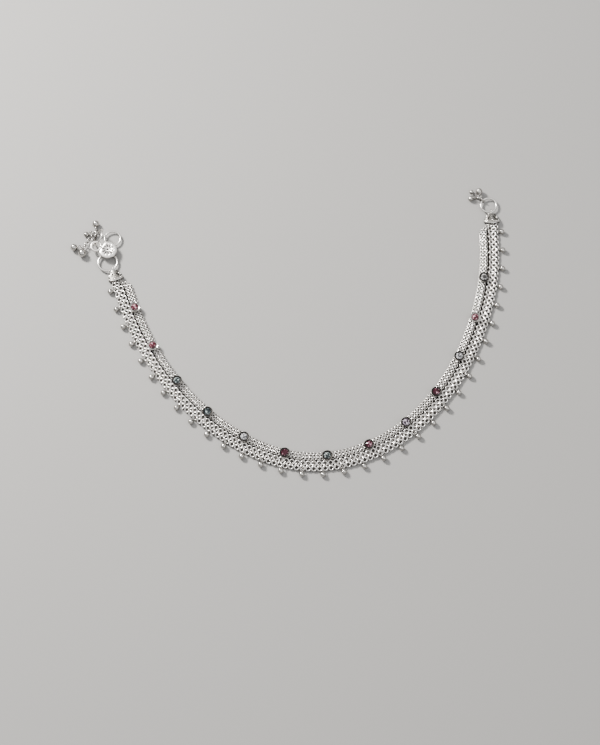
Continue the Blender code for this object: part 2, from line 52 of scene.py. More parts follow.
# The band's course and ends, as in the solids
BALL_COUNT = 33
BALL_PITCH = 7.5 * MM
BAND_LENGTH = (BALL_COUNT - 1) * BALL_PITCH
BAND_HEADINGS = (-72.0, -59.5, -43.0, -21.5, 12.0, 40.0, 60.5, 76.0, 92.0)
COURSE_STEP = 0.25 * MM
STRIP_RUN = 5.4 * MM
TAPER_LENGTH = 3.4 * MM
TAPER_SHARE = 0.55
SEAM_GAP = 0.35 * MM
SEAM_MIDDLE = 5.225 * MM

# Ball fringe
BALL_RADIUS = 1.0 * MM
BALL_HEIGHT = 1.0 * MM
BALL_LOOP_RADIUS = 0.82 * MM
BALL_LOOP_WIRE = 0.17 * MM
BALL_LOOP_REACH = 1.525 * MM
BALL_SEGMENTS = 28
BALL_RINGS = 18
BALL_LOOP_SIDES = 24

# Outer net: three rows of linked rings, each leaning against the next, over near-black rings underneath that
# paint the shade in its holes
NET_WIDTH = 3.75 * MM
NET_MIDDLE = 3.175 * MM
NET_HEIGHT = 1.0 * MM
NET_LINK_PITCH = BALL_PITCH / 3.5
NET_LINK = (0.83 * MM, 0.235 * MM)
NET_ROWS = 3
NET_ROW_STEP = 0.93 * MM
NET_LEAN = 23.0
UNDER_LINK = (0.64 * MM, 0.24 * MM)
UNDER_HEIGHT = 0.5 * MM
UNDER_SHIFT = 0.5

# Inner strip, woven the same way from smaller rings
STRIP_WIDTH = 3.1 * MM
STRIP_MIDDLE = 6.95 * MM
STRIP_HEIGHT = 0.7 * MM
STRIP_LINK_PITCH = BALL_PITCH / 5
STRIP_LINK = (0.55 * MM, 0.155 * MM)
STRIP_ROWS = 4
STRIP_ROW_STEP = 0.6 * MM
STRIP_LEAN = 24.0
STRIP_LINK_SIDES = 14
# Dark core under the strip's rings, partly oxide and partly painted shade, and a dark sheet in the seam,
# painted shade
STRIP_CORE = (2.5 * MM, 0.45 * MM)
CORE_HEIGHT = 0.05 * MM
SEAM_SHADE_SHEET = (0.7 * MM, 0.2 * MM)
LINK_SIDES = 18
LINK_WIRE_SIDES = 8
GATHERED_LINK = 0.8
ROW_END_MARGIN = 0.3 * MM
RUN_END_MARGIN = 0.5 * MM
RUN_STEPS = 160

# Stones in their bezels
STONE_START = 9.6 * MM
STONE_END = 20.0 * MM
STONE_SHIFT = 0.45 * MM
STONE_MIDDLE = STRIP_MIDDLE - STONE_SHIFT
STONE_HEIGHT = 2.35 * MM
STONE_RADIUS = 1.35 * MM
STONE_TABLE = 0.8 * MM
STONE_CROWN = 0.4 * MM
STONE_PAVILION = 0.9 * MM
STONE_FACETS = 8
STONE_GIRDLE = 0.02 * MM
CROWN_BREAK = (0.82, 0.55)
PAVILION_BREAK = (0.5, 0.62)
STONE_TURN = 23.0
BEZEL_SIDES = 40

# Each stone's finish, from the clasp plate's end
STONES = (
    "rose", "rose", "teal", "deep_teal", "clear", "garnet", "teal",
    "garnet", "dusk", "garnet", "clear", "rose", "smoke",
)

# End caps
CAP_START = 4.1 * MM
CAP_LENGTH = 3.4 * MM
CAP_SHIFT = 1.6 * MM
CAP_MARGIN = 0.7 * MM
CAP_MOUTH_WIDTH = (NET_WIDTH + STRIP_WIDTH) * TAPER_SHARE + SEAM_GAP + 2 * CAP_MARGIN
CAP_NOSE_WIDTH = 2.8 * MM
CAP_HEIGHT = 2.1 * MM
CAP_NOSE_DROP = 0.2 * MM
CAP_BULGE = 0.8 * MM
CAP_SQUARENESS = 0.4
CAP_WALL = 0.25 * MM
CAP_SLOT_LENGTH = 1.5 * MM
CAP_SLOT_WIDTH = 0.46 * MM
CAP_SLOT_TURN = 32.0
CAP_SLOT_START = 0.42
CAP_SLOT_SPREAD = 0.19
CAP_SLOT_STEPS = 8
CAP_FOOT = 0.04 * MM
EDGE_COSINE = 0.999
CAP_GRID = (14, 32)
CAP_BEAD = 0.21 * MM
CAP_BEADS = 13
CAP_BEAD_LINE = 0.14
CAP_BEAD_SPREAD = 0.86
CAP_BEAD_LIFT = 0.02 * MM
CAP_MIDDLE_BEADS = (0.3, 0.5, 0.7)
CAP_RIM = (0.02, 40, 0.17 * MM)
CAP_NOSE = (0.98, 24, 0.14 * MM)
SWIRL_SIDE = 0.62
SWIRL_PLACE = 0.5
SWIRL_REACH = 0.17
SWIRL_TURNS = 1.4
SWIRL_STEPS = 16
SWIRL_CLOSING = 0.8
SWIRL_SQUASH = 0.55
SWIRL_LIFT = 0.05 * MM
SWIRL_WIRE = 0.11 * MM
NOSE_BALL = 0.8 * MM
NOSE_BALL_INSET = 0.2 * MM
NOSE_BALL_SHAPE = (0.45, 1.3, 1.0, 1.0)
SHOULDER_BALL = 0.3 * MM
SHOULDER_PLACE = (0.86, 0.42, 0.06 * MM)
CAP_LOOP_RADIUS = 0.85 * MM
CAP_LOOP_WIRE = 0.22 * MM
RING_HEIGHT = 1.07 * MM

# Rings, plate and bell ring
LINK_RING = (3.5 * MM, 0.36 * MM)
LINK_RING_TURN = 18.0
LINK_RING_JOINT = (5.0, LINK_RING_TURN + 150)
SIZE_RING = (2.9 * MM, 0.33 * MM)
SIZE_RING_TURN = -34.0
SIZE_RING_JOINT = (3.0, 60.0)
RIGHT_RING = (2.9 * MM, 0.33 * MM)
RIGHT_RING_TURN = 14.0
RIGHT_RING_JOINT = (4.0, 120.0)
RING_SIDES = 64
LOOP_SIDES = 32
PLATE_RADIUS = 3.37 * MM
PLATE_FLAT = 2.5 * MM
PLATE_FLAT_TURN = 45.0
PLATE_THICKNESS = 0.9 * MM
PLATE_TURN = -18.0
PLATE_SIDES = 72
PLATE_SOFTNESS = 0.25 * MM
PETAL_COUNT = 10
PETAL_TURN = 18
LONG_PETAL = (1.62 * MM, 0.64 * MM)
SHORT_PETAL = (1.52 * MM, 0.46 * MM)
PETAL_WIDTH = 0.23 * MM
PETAL_DEPTH = 0.36 * MM
PETAL_SEGMENTS = 16
PETAL_RINGS = 10
DIMPLE_RADIUS = 0.3 * MM
DIMPLE_DEPTH = 0.12 * MM
BAIL = (0.78 * MM, 0.22 * MM)
LINK_BAIL_REACH = 1.05 * MM
SIZE_BAIL_REACH = 2.45 * MM
PLATE_LOOP = (1.8 * MM, 0.45 * MM)
PLATE_LOOP_REACH = 4.55 * MM
PLATE_LOOP_TURN = 54.0
PLATE_LOOP_SIDES = 56
PLATE_BOTTOM = RING_HEIGHT + BAIL[0]
BELL_RING = (3.1 * MM, 0.28 * MM)
BELL_RING_LEAN = 60.0
BELL_RING_TURN = -30.0
BELL_RING_SEAT = 0.35 * MM
BELL_RING_FIT = 0.985

# Bells and links: places in hook radii as (out, across), as in the solids
HOOK_RADIUS = 0.85 * MM
HOOK_SIDES = 10
LINK_WIRE = 0.2 * MM
LINK_GAP = 0.15 * MM
SMALL_LINK_PITCH = 1.12 * MM
SMALL_LINK_WIRE = 0.16 * MM
SMALL_LINK_SIDES = 24
BELL_FIT = 0.95
BELL_NECK = 0.28
LEFT_HOOK_TURN = 35.0
RIGHT_HOOK_TURN = 48.0
LEFT_CHAIN = (-6.1, 7.3)
RIGHT_CHAIN = (0.75, 1.45)
LEFT_BELLS = (
    (3.3, -0.7, 1.6, 0.0),
    (0.5, 2.4, 0.65, 0.25),
    (-0.1, 4.6, 1.2, 0.25),
    (-4.7, 11.4, 1.6, 1.0),
    (-8.6, 8.8, 1.85, 1.0),
)
RIGHT_BELLS = (
    (3.6, 0.4, 1.6, 0.0),
    (0.4, 4.2, 1.2, 1.0),
    (3.7, 3.6, 1.0, 1.0),
)


# Sizes of clouds and scratches, as noise scales, and the depth of all fine relief
CLOUD_SCALE = 900.0
SCRATCH_SCALE = 6500.0
STONE_CLOUD_SCALE = 1400.0
RELIEF_DEPTH = 0.02 * MM


# Node helpers
SOCKETS = {float: "NodeSocketFloat", int: "NodeSocketInt", tuple: "NodeSocketColor"}


def new_tree(name, kind, inputs, outputs):
    """A node tree. Its inputs are given by a default, or by a socket type, and its outputs by a type."""
    tree = bpy.data.node_groups.new(name, kind)
    for label, value in inputs.items():
        socket = value if isinstance(value, str) else SOCKETS[type(value)]
        made = tree.interface.new_socket(name=label, in_out="INPUT", socket_type=socket)
        if socket is not value:
            made.default_value = value
    for label, socket in outputs.items():
        tree.interface.new_socket(name=label, in_out="OUTPUT", socket_type=socket)
    return tree


def add_node(tree, kind, inputs=None, **settings):
    """A node with its settings, whose inputs take values or other nodes' outputs."""
    node = tree.nodes.new(kind)
    for key, value in settings.items():
        setattr(node, key, value)
    for key, value in (inputs or {}).items():
        if isinstance(value, bpy.types.NodeSocket):
            tree.links.new(value, node.inputs[key])
        else:
            node.inputs[key].default_value = value
    return node


def remap(tree, value, low, high, to_low=0.0, to_high=1.0, easing="LINEAR"):
    """A value between low and high, carried over to between two others."""
    ends = {"Value": value, "From Min": low, "From Max": high, "To Min": to_low, "To Max": to_high}
    return add_node(tree, "ShaderNodeMapRange", ends, interpolation_type=easing).outputs["Result"]


def reckon(tree, operation, first, second):
    return add_node(tree, "ShaderNodeMath", {0: first, 1: second}, operation=operation).outputs["Value"]


def blend(tree, share, first, second):
    """The first colour where the share is 0 and the second where it is 1."""
    mixed = add_node(tree, "ShaderNodeMix", {"Factor": share, 6: first, 7: second}, data_type="RGBA")
    return mixed.outputs[2]


def noise(tree, place, scale, detail):
    made = add_node(tree, "ShaderNodeTexNoise", {"Vector": place, "Scale": scale, "Detail": detail})
    return made.outputs["Fac"]


# Materials
def silver_skin():
    """Silver, painted dark low down and bright higher up: painted shade, and in the weave's hollows also
    oxide. It has faint clouds and scratches.
    """
    tree = new_tree(
        "silver_skin", "ShaderNodeTree",
        {
            "Bright": (0.9, 0.88, 0.85, 1.0), "Dark": (0.1, 0.09, 0.08, 1.0), "Deep": 0.0, "High": 1.0 * MM,
            "Gloss": 0.18, "Grain": CLOUD_SCALE,
        },
        {"Colour": "NodeSocketColor", "Roughness": "NodeSocketFloat", "Height": "NodeSocketFloat"},
    )
    start = add_node(tree, "NodeGroupInput")
    place = add_node(tree, "ShaderNodeTexCoord").outputs["Object"]
    split = add_node(tree, "ShaderNodeSeparateXYZ", {"Vector": place})
    clouds = noise(tree, place, start.outputs["Grain"], 3.0)
    grain = noise(tree, place, SCRATCH_SCALE, 2.0)
    deep, high = start.outputs["Deep"], start.outputs["High"]
    # Painted shade: the colour darkens from the high height down to the deep one
    shown = remap(tree, split.outputs["Z"], deep, high, easing="SMOOTHSTEP")
    share = reckon(tree, "MULTIPLY", shown, remap(tree, clouds, 0.3, 0.7, 0.78, 1.0))
    colour = blend(tree, share, start.outputs["Dark"], start.outputs["Bright"])
    rough = reckon(tree, "ADD", remap(tree, share, 0.0, 1.0, 0.3, 0.0), start.outputs["Gloss"])
    add_node(tree, "NodeGroupOutput", {"Colour": colour, "Roughness": rough, "Height": grain})
    return tree


def cut_facets():
    """Facets painted lighter or darker, as painted glints and painted shade, with a cloudy noise for the
    fine relief.
    """
    tree = new_tree(
        "cut_facets", "ShaderNodeTree",
        {"Body": (0.4, 0.02, 0.1, 1.0), "Glint": (0.9, 0.5, 0.6, 1.0), "Depth": (0.05, 0.0, 0.02, 1.0)},
        {"Colour": "NodeSocketColor", "Height": "NodeSocketFloat"},
    )
    start = add_node(tree, "NodeGroupInput")
    facet = add_node(tree, "ShaderNodeAttribute", attribute_name="facet", attribute_type="GEOMETRY")
    place = add_node(tree, "ShaderNodeTexCoord").outputs["Object"]
    clouds = noise(tree, place, STONE_CLOUD_SCALE, 1.0)
    # Painted shade on the dark facets and painted glints on the bright ones
    dark_share = remap(tree, facet.outputs["Fac"], 0.0, 0.45, 1.0, 0.0)
    light_share = remap(tree, facet.outputs["Fac"], 0.62, 1.0)
    deep = blend(tree, dark_share, start.outputs["Body"], start.outputs["Depth"])
    lit = blend(tree, light_share, deep, start.outputs["Glint"])
    add_node(tree, "NodeGroupOutput", {"Colour": lit, "Height": clouds})
    return tree


SILVER_SKIN = silver_skin()
CUT_FACETS = cut_facets()


def new_material(name):
    made = bpy.data.materials.new(name)
    made.use_nodes = True
    return made, made.node_tree, made.node_tree.nodes["Principled BSDF"]


def skinned(name, group, values, bump):
    """A material with its colour and fine relief from a shader group, and its tree, shader and group."""
    made, tree, shader = new_material(name)
    skin = add_node(tree, "ShaderNodeGroup", values, node_tree=group)
    relief = {"Height": skin.outputs["Height"], "Strength": bump, "Distance": RELIEF_DEPTH}
    tree.links.new(skin.outputs["Colour"], shader.inputs["Base Color"])
    tree.links.new(add_node(tree, "ShaderNodeBump", relief).outputs["Normal"], shader.inputs["Normal"])
    return made, tree, shader, skin


def silver(name, bright, dark, deep, high, gloss, bump):
    """A silver finish, dark below the deep height and bright above the high one, both in mm: painted shade,
    and in the weave also oxide.
    """
    values = {
        "Bright": (*bright, 1.0), "Dark": (*dark, 1.0), "Deep": deep * MM, "High": high * MM, "Gloss": gloss,
    }
    made, tree, shader, skin = skinned(name, SILVER_SKIN, values, bump)
    shader.inputs["Metallic"].default_value = 1.0
    tree.links.new(skin.outputs["Roughness"], shader.inputs["Roughness"])
    return made


def stone(name, body, glint, depth, transmission):
    """A cut stone with painted glints on its bright facets and painted shade on its dark ones, under a
    polished surface.
    """
    values = {"Body": (*body, 1.0), "Glint": (*glint, 1.0), "Depth": (*depth, 1.0)}
    made, _, shader, _ = skinned(name, CUT_FACETS, values, 0.1)
    shader.inputs["Roughness"].default_value = 0.06
    shader.inputs["IOR"].default_value = 1.55
    shader.inputs["Specular IOR Level"].default_value = 0.3
    shader.inputs["Transmission Weight"].default_value = transmission
    return made


# The dark colours paint shade low down, and in the weave's hollows also oxide
WHITE_SILVER = (0.97, 0.94, 0.90)
OXIDE_AND_SHADE_SILVER = (0.07, 0.062, 0.055)
BLACK_SILVER = (0.02, 0.018, 0.016)

# Silver finishes: bright and dark colours, the heights in mm from dark to bright, roughness and relief.
# Their darkening low down is painted shade, and in the weave also oxide
SILVERS = (
    # Woven rows: darker low down, partly oxide in the hollows and partly painted shade
    ("net_silver", WHITE_SILVER, OXIDE_AND_SHADE_SILVER, 0.45, 1.0, 0.2, 0.3),
    # Near-black rings under the net, painted shade in its holes, and the strip's core, partly oxide and
    # partly painted shade
    ("under_silver", (0.12, 0.11, 0.10), BLACK_SILVER, 0.0, 0.9, 0.4, 0.3),
    ("strip_silver", WHITE_SILVER, OXIDE_AND_SHADE_SILVER, 0.42, 0.86, 0.2, 0.3),
    # Balls, bells, rings, caps, bezels and plate: darker low down as painted shade
    ("ball_silver", (0.62, 0.60, 0.57), (0.15, 0.14, 0.13), 0.7, 1.7, 0.12, 0.1),
    ("bell_silver", (0.62, 0.60, 0.57), (0.14, 0.13, 0.12), 0.6, 2.3, 0.12, 0.1),
    ("ring_silver", WHITE_SILVER, (0.10, 0.09, 0.08), 0.92, 1.34, 0.2, 0.15),
    ("cap_silver", WHITE_SILVER, (0.06, 0.055, 0.05), 0.6, 2.0, 0.2, 0.4),
    # The cap's sheet is dark between its beads, wires and slots
    ("aged_silver", (0.20, 0.19, 0.175), (0.03, 0.028, 0.026), 0.6, 2.1, 0.3, 0.8),
    ("bezel_silver", WHITE_SILVER, OXIDE_AND_SHADE_SILVER, 1.5, 2.5, 0.16, 0.2),
    ("dark_silver", (0.13, 0.125, 0.12), BLACK_SILVER, 2.0, 3.0, 0.3, 0.3),
    ("plate_silver", WHITE_SILVER, (0.3, 0.28, 0.26), 1.7, 2.5, 0.26, 0.5),
    # Near black: painted shade in the seam sheet, and partly oxide, partly painted shade in grooves, seats,
    # sunk petals and the cap's nose ball
    ("tarnish", (0.04, 0.036, 0.033), BLACK_SILVER, 0.0, 3.0, 0.45, 0.5),
)

# Stones: slot, share of the crown's facets that flash, body, bright and dark facets, and light let through.
# The bright facets are painted glints and the dark ones painted shade
GEMS = {
    "rose": ("garnet", 0.4, (0.10, 0.016, 0.028), (0.62, 0.37, 0.41), (0.024, 0.003, 0.006), 0.1),
    "garnet": ("garnet", 0.16, (0.045, 0.002, 0.010), (0.62, 0.34, 0.42), (0.01, 0.0, 0.003), 0.1),
    "teal": ("smoky_green", 0.55, (0.025, 0.036, 0.038), (0.52, 0.58, 0.57), (0.006, 0.009, 0.01), 0.1),
    "deep_teal": (
        "smoky_green", 0.35, (0.014, 0.022, 0.025), (0.36, 0.42, 0.43), (0.003, 0.005, 0.006), 0.1,
    ),
    "dusk": ("smoky_green", 0.5, (0.045, 0.028, 0.045), (0.70, 0.62, 0.72), (0.01, 0.006, 0.012), 0.1),
    "clear": ("clear_stone", 0.75, (0.10, 0.10, 0.105), (0.85, 0.85, 0.87), (0.03, 0.03, 0.034), 0.2),
    "smoke": ("clear_stone", 0.7, (0.07, 0.067, 0.065), (0.78, 0.78, 0.77), (0.02, 0.02, 0.02), 0.2),
}

MATERIALS = {name: silver(name, *finish) for name, *finish in SILVERS}
MATERIALS.update({name: stone(name, *look) for name, (_, _, *look) in GEMS.items()})


# The band's course
def heading_at(share):
    """Heading in radians at a share of the band's length, smoothly through the table."""
    last = len(BAND_HEADINGS) - 1
    place = min(max(share, 0.0), 1.0) * last
    start = min(int(place), last - 1)
    t = place - start
    before, here, there, after = (
        BAND_HEADINGS[min(max(start + step, 0), last)] for step in (-1, 0, 1, 2)
    )
    bend = 2 * before - 5 * here + 4 * there - after + t * (3 * (here - there) + after - before)
    return math.radians(here + 0.5 * t * (there - before + t * bend))


def walk_course():
    """Points along the line of balls and a little beyond both its ends, as (distance, point)."""
    steps = round((BAND_LENGTH + 2 * STRIP_RUN) / COURSE_STEP)
    distance, point = -STRIP_RUN, Vector((0, 0, 0))
    rows = [(distance, point)]
    for _ in range(steps):
        angle = heading_at((distance + COURSE_STEP / 2) / BAND_LENGTH)
        point = point + Vector((math.cos(angle), math.sin(angle), 0)) * COURSE_STEP
        distance += COURSE_STEP
        rows.append((distance, point))
    return rows


COURSE = walk_course()


def course_point(distance, inward, height=0.0):
    """The point that far along and that far in from the line of balls, measured from the course's start."""
    place = (distance - COURSE[0][0]) / COURSE_STEP
    index = min(max(int(place), 0), len(COURSE) - 2)
    point = COURSE[index][1].lerp(COURSE[index + 1][1], place - index)
    angle = heading_at(distance / BAND_LENGTH)
    return point + Vector((-math.sin(angle), math.cos(angle), 0)) * inward + Vector((0, 0, height))


def stone_places():
    pitch = (BAND_LENGTH - STONE_START - STONE_END) / (len(STONES) - 1)
    return [STONE_START + index * pitch for index in range(len(STONES))]


def course_start():
    """Where the course starts in the frame, from the middle of the first stone."""
    low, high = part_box("stone_01")
    start = (low + high) / 2 - course_point(stone_places()[0], STONE_MIDDLE)
    start.z = 0.0
    return start


START = course_start()


def band_point(distance, inward, height=0.0):
    return START + course_point(distance, inward, height)


def band_frame(distance, inward, height=0.0):
    """A frame there with X along the band, Y in towards the ankle and Z up."""
    turn = Matrix.Rotation(heading_at(distance / BAND_LENGTH), 4, "Z")
    return Matrix.Translation(band_point(distance, inward, height)) @ turn


def gathering(distance):
    """How far the strips have drawn towards an end cap, from 0 to 1."""
    out = max(-distance, distance - BAND_LENGTH)
    t = min(max(out / TAPER_LENGTH, 0.0), 1.0)
    return t * t * (3 - 2 * t)


def gathered(distance, inward):
    """The inward offset once the strips narrow and draw towards an end cap."""
    ease = gathering(distance)
    off_seam = inward - SEAM_MIDDLE
    side = math.copysign(SEAM_GAP / 2, off_seam)
    narrowed = side + (off_seam - side) * (1 - (1 - TAPER_SHARE) * ease)
    return SEAM_MIDDLE - CAP_SHIFT * ease + narrowed


def end_frame(right):
    """A frame on the cap's middle line beside the first or last ball: X out of the band, Z up."""
    across = SEAM_MIDDLE - CAP_SHIFT + (STRIP_WIDTH - NET_WIDTH) * TAPER_SHARE / 2
    if right:
        return band_frame(BAND_LENGTH, across)
    return band_frame(0.0, across) @ Matrix.Rotation(math.pi, 4, "Z")


# Trees that repeat a piece along a path
def row_tree(name, inputs):
    """A tree that repeats a piece along paths, with its inputs' node and the paths as curves."""
    tree = new_tree(
        name, "GeometryNodeTree",
        {"Geometry": "NodeSocketGeometry", **inputs, "Finish": "NodeSocketMaterial"},
        {"Geometry": "NodeSocketGeometry"},
    )
    start = add_node(tree, "NodeGroupInput")
    path = add_node(tree, "GeometryNodeMeshToCurve", {"Mesh": start.outputs["Geometry"]})
    return tree, start, path.outputs["Curve"]


def end_rows(tree, start, path, piece, **turns):
    """Puts the piece on every point, makes the copies real, gives them their finish and ends the tree."""
    placed = add_node(tree, "GeometryNodeInstanceOnPoints", {"Points": path, "Instance": piece, **turns})
    real = add_node(tree, "GeometryNodeRealizeInstances", {"Geometry": placed.outputs["Instances"]})
    painted = add_node(
        tree, "GeometryNodeSetMaterial",
        {"Geometry": real.outputs["Geometry"], "Material": start.outputs["Finish"]},
    )
    add_node(tree, "NodeGroupOutput", {"Geometry": painted.outputs["Geometry"]})
    return tree


def point_value(tree, name):
    found = add_node(tree, "GeometryNodeInputNamedAttribute", {"Name": name}, data_type="FLOAT")
    return found.outputs["Attribute"]


def wire_ring(tree, radius, wire, sides, wire_sides):
    """Nodes for a smooth wire ring about Z."""
    loop = add_node(tree, "GeometryNodeCurvePrimitiveCircle", {"Resolution": sides, "Radius": radius})
    section = add_node(tree, "GeometryNodeCurvePrimitiveCircle", {"Resolution": wire_sides, "Radius": wire})
    swept = add_node(
        tree, "GeometryNodeCurveToMesh",
        {"Curve": loop.outputs["Curve"], "Profile Curve": section.outputs["Curve"]},
    )
    return add_node(tree, "GeometryNodeSetShadeSmooth", {"Geometry": swept.outputs["Mesh"]})


def along_path(tree):
    """The turn that lays X along the path and keeps Z up."""
    tangent = add_node(tree, "GeometryNodeInputTangent")
    aligned = add_node(
        tree, "FunctionNodeAlignRotationToVector", {"Vector": tangent.outputs["Tangent"]},
        axis="X", pivot_axis="Z",
    )
    return aligned.outputs["Rotation"]


def ring_rows():
    """Rings in rows: one on each point of the paths, leaning and sized as the point's attributes say."""
    tree, start, path = row_tree(
        "ring_rows",
        {
            "Ring Radius": NET_LINK[0], "Wire Radius": NET_LINK[1],
            "Ring Sides": LINK_SIDES, "Wire Sides": LINK_WIRE_SIDES,
        },
    )
    ring = wire_ring(
        tree, start.outputs["Ring Radius"], start.outputs["Wire Radius"],
        start.outputs["Ring Sides"], start.outputs["Wire Sides"],
    )
    angles = add_node(tree, "ShaderNodeCombineXYZ", {"X": point_value(tree, "lean")})
    leaned = add_node(tree, "FunctionNodeEulerToRotation", {"Euler": angles.outputs["Vector"]})
    turned = add_node(
        tree, "FunctionNodeRotateRotation",
        {"Rotation": along_path(tree), "Rotate By": leaned.outputs["Rotation"]}, rotation_space="LOCAL",
    )
    return end_rows(
        tree, start, path, ring.outputs["Geometry"],
        Rotation=turned.outputs["Rotation"], Scale=point_value(tree, "size"),
    )


def hung_balls():
    """A ball on each point of the path, and the upright loop that hangs it on the net beside it."""
    tree, start, path = row_tree(
        "hung_balls",
        {
            "Ball Radius": BALL_RADIUS, "Loop Radius": BALL_LOOP_RADIUS, "Loop Wire": BALL_LOOP_WIRE,
            "Loop Reach": BALL_LOOP_REACH,
        },
    )
    ball = add_node(
        tree, "GeometryNodeMeshUVSphere",
        {"Segments": BALL_SEGMENTS, "Rings": BALL_RINGS, "Radius": start.outputs["Ball Radius"]},
    )
    smooth = add_node(tree, "GeometryNodeSetShadeSmooth", {"Geometry": ball.outputs["Mesh"]})
    loop = wire_ring(
        tree, start.outputs["Loop Radius"], start.outputs["Loop Wire"], BALL_LOOP_SIDES, LINK_WIRE_SIDES
    )
    reach = add_node(tree, "ShaderNodeCombineXYZ", {"Y": start.outputs["Loop Reach"]})
    hung = add_node(
        tree, "GeometryNodeTransform",
        {
            "Geometry": loop.outputs["Geometry"], "Translation": reach.outputs["Vector"],
            "Rotation": (0.0, math.pi / 2, 0.0),
        },
    )
    both = add_node(tree, "GeometryNodeJoinGeometry")
    tree.links.new(smooth.outputs["Geometry"], both.inputs["Geometry"])
    tree.links.new(hung.outputs["Geometry"], both.inputs["Geometry"])
    return end_rows(tree, start, path, both.outputs["Geometry"], Rotation=along_path(tree))


def bead_rows():
    """A small ball on each point of the paths, sized as the point's attribute says."""
    tree, start, path = row_tree("bead_rows", {"Bead Radius": CAP_BEAD})
    bead = add_node(
        tree, "GeometryNodeMeshIcoSphere", {"Radius": start.outputs["Bead Radius"], "Subdivisions": 3}
    )
    smooth = add_node(tree, "GeometryNodeSetShadeSmooth", {"Geometry": bead.outputs["Mesh"]})
    return end_rows(tree, start, path, smooth.outputs["Geometry"], Scale=point_value(tree, "size"))


# Mesh helpers
def link_object(name, mesh):
    obj = bpy.data.objects.new(name, mesh)
    bpy.context.scene.collection.objects.link(obj)
    return obj


def evaluated_mesh(obj):
    """The plain mesh that an object's curve or modifiers make."""
    graph = bpy.context.evaluated_depsgraph_get()
    return bpy.data.meshes.new_from_object(obj.evaluated_get(graph), depsgraph=graph)


def grown(name, tree, base, settings):
    """The plain mesh that a tree makes from a base mesh, with its inputs set by their names."""
    obj = link_object(name, base)
    modifier = obj.modifiers.new(name, "NODES")
    modifier.node_group = tree
    for item in tree.interface.items_tree:
        if item.in_out == "INPUT" and item.name in settings:
            modifier[item.identifier] = settings[item.name]
    mesh = evaluated_mesh(obj)
    obj.modifiers.remove(modifier)
    obj.data = mesh
    face_out(mesh)
    return obj


def face_out(mesh):
    bm = bmesh.new()
    bm.from_mesh(mesh)
    bmesh.ops.recalc_face_normals(bm, faces=bm.faces)
    bm.to_mesh(mesh)
    bm.free()


def path_mesh(name, rows):
    """Open paths as a mesh, from rows of (point, lean in degrees, size)."""
    points = [row for path in rows for row in path]
    edges = []
    start = 0
    for path in rows:
        edges += [(start + step, start + step + 1) for step in range(len(path) - 1)]
        start += len(path)
    mesh = bpy.data.meshes.new(name)
    mesh.from_pydata([point for point, _, _ in points], edges, [])
    lean = mesh.attributes.new("lean", "FLOAT", "POINT")
    size = mesh.attributes.new("size", "FLOAT", "POINT")
    for index, (_, turn, share) in enumerate(points):
        lean.data[index].value = math.radians(turn)
        size.data[index].value = share
    return mesh


def plain_mesh(bm, name):
    mesh = bpy.data.meshes.new(name)
    bm.to_mesh(mesh)
    bm.free()
    return mesh


def finished_mesh(bm, name, angle=40.0):
    """The finished mesh, smooth but for edges sharper than the angle."""
    mesh = plain_mesh(bm, name)
    mesh.shade_smooth()
    mesh.set_sharp_from_angle(angle=math.radians(angle))
    return mesh


def smooth_mesh(bm, name, angle=40.0):
    """The finished mesh of a closed form, with its faces outward."""
    bmesh.ops.recalc_face_normals(bm, faces=bm.faces)
    return finished_mesh(bm, name, angle)


def wire_mesh(points, radius, closed=False):
    """A round wire through points."""
    curve = bpy.data.curves.new("wire", "CURVE")
    curve.dimensions = "3D"
    spline = curve.splines.new("POLY")
    spline.points.add(len(points) - 1)
    for target, point in zip(spline.points, points):
        target.co = (*point, 1.0)
    spline.use_cyclic_u = closed
    curve.bevel_depth = radius
    curve.bevel_resolution = 4
    curve.use_fill_caps = not closed
    obj = link_object("wire", curve)
    mesh = evaluated_mesh(obj)
    bpy.data.objects.remove(obj)
    bm = bmesh.new()
    bm.from_mesh(mesh)
    bmesh.ops.remove_doubles(bm, verts=bm.verts, dist=WELD_DISTANCE)
    return smooth_mesh(bm, "wire")


def ring_points(radius, sides, opening=0.0):
    """Points of a ring about Z, all round or with an opening in degrees centred on X."""
    first = math.radians(opening / 2)
    span = math.tau - 2 * first
    count = sides + 1 if opening else sides
    return [
        Vector((math.cos(first + span * step / sides), math.sin(first + span * step / sides), 0)) * radius
        for step in range(count)
    ]


def ring_mesh(radius, wire, sides, opening=0.0):
    return wire_mesh(ring_points(radius, sides, opening), wire, closed=not opening)


def ball_mesh(radius, segments=32, rings=20):
    bm = bmesh.new()
    bmesh.ops.create_uvsphere(bm, u_segments=segments, v_segments=rings, radius=radius)
    return smooth_mesh(bm, "ball")


def assemble(name, parts):
    """One object from (mesh, matrix, finish) parts, each with its own finish."""
    finishes = sorted({finish for _, _, finish in parts})
    bm = bmesh.new()
    for mesh, matrix, finish in parts:
        piece = mesh.copy()
        piece.transform(matrix)
        start = len(bm.faces)
        bm.from_mesh(piece)
        bm.faces.ensure_lookup_table()
        for face in bm.faces[start:]:
            face.material_index = finishes.index(finish)
        bpy.data.meshes.remove(piece)
    joined = plain_mesh(bm, name)
    for finish in finishes:
        joined.materials.append(MATERIALS[finish])
    return link_object(name, joined)


def dress(obj, slot, *nodes):
    """Lets a finished piece stand for its CAD nodes."""
    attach(obj, "root")
    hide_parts(*nodes)


def fit(name, node, end, parts):
    """Assembles parts that are placed in an end frame, and lets them stand for their node."""
    parts = [(mesh, end @ matrix, finish) for mesh, matrix, finish in parts]
    dress(assemble(name, parts), "polished_silver", node)


def cut_away(obj, cutter):
    """Takes the cutter's form out of an object."""
    cut = obj.modifiers.new(cutter.name, "BOOLEAN")
    cut.operation = "DIFFERENCE"
    cut.object = cutter
    return cut


def spin_about(axis, degrees):
    return Matrix.Rotation(math.radians(degrees), 4, axis)


def out_point(start, turn, reach):
    """A point that far from the start, in a level direction turned from X."""
    angle = math.radians(turn)
    return start + Vector((math.cos(angle), math.sin(angle), 0)) * reach


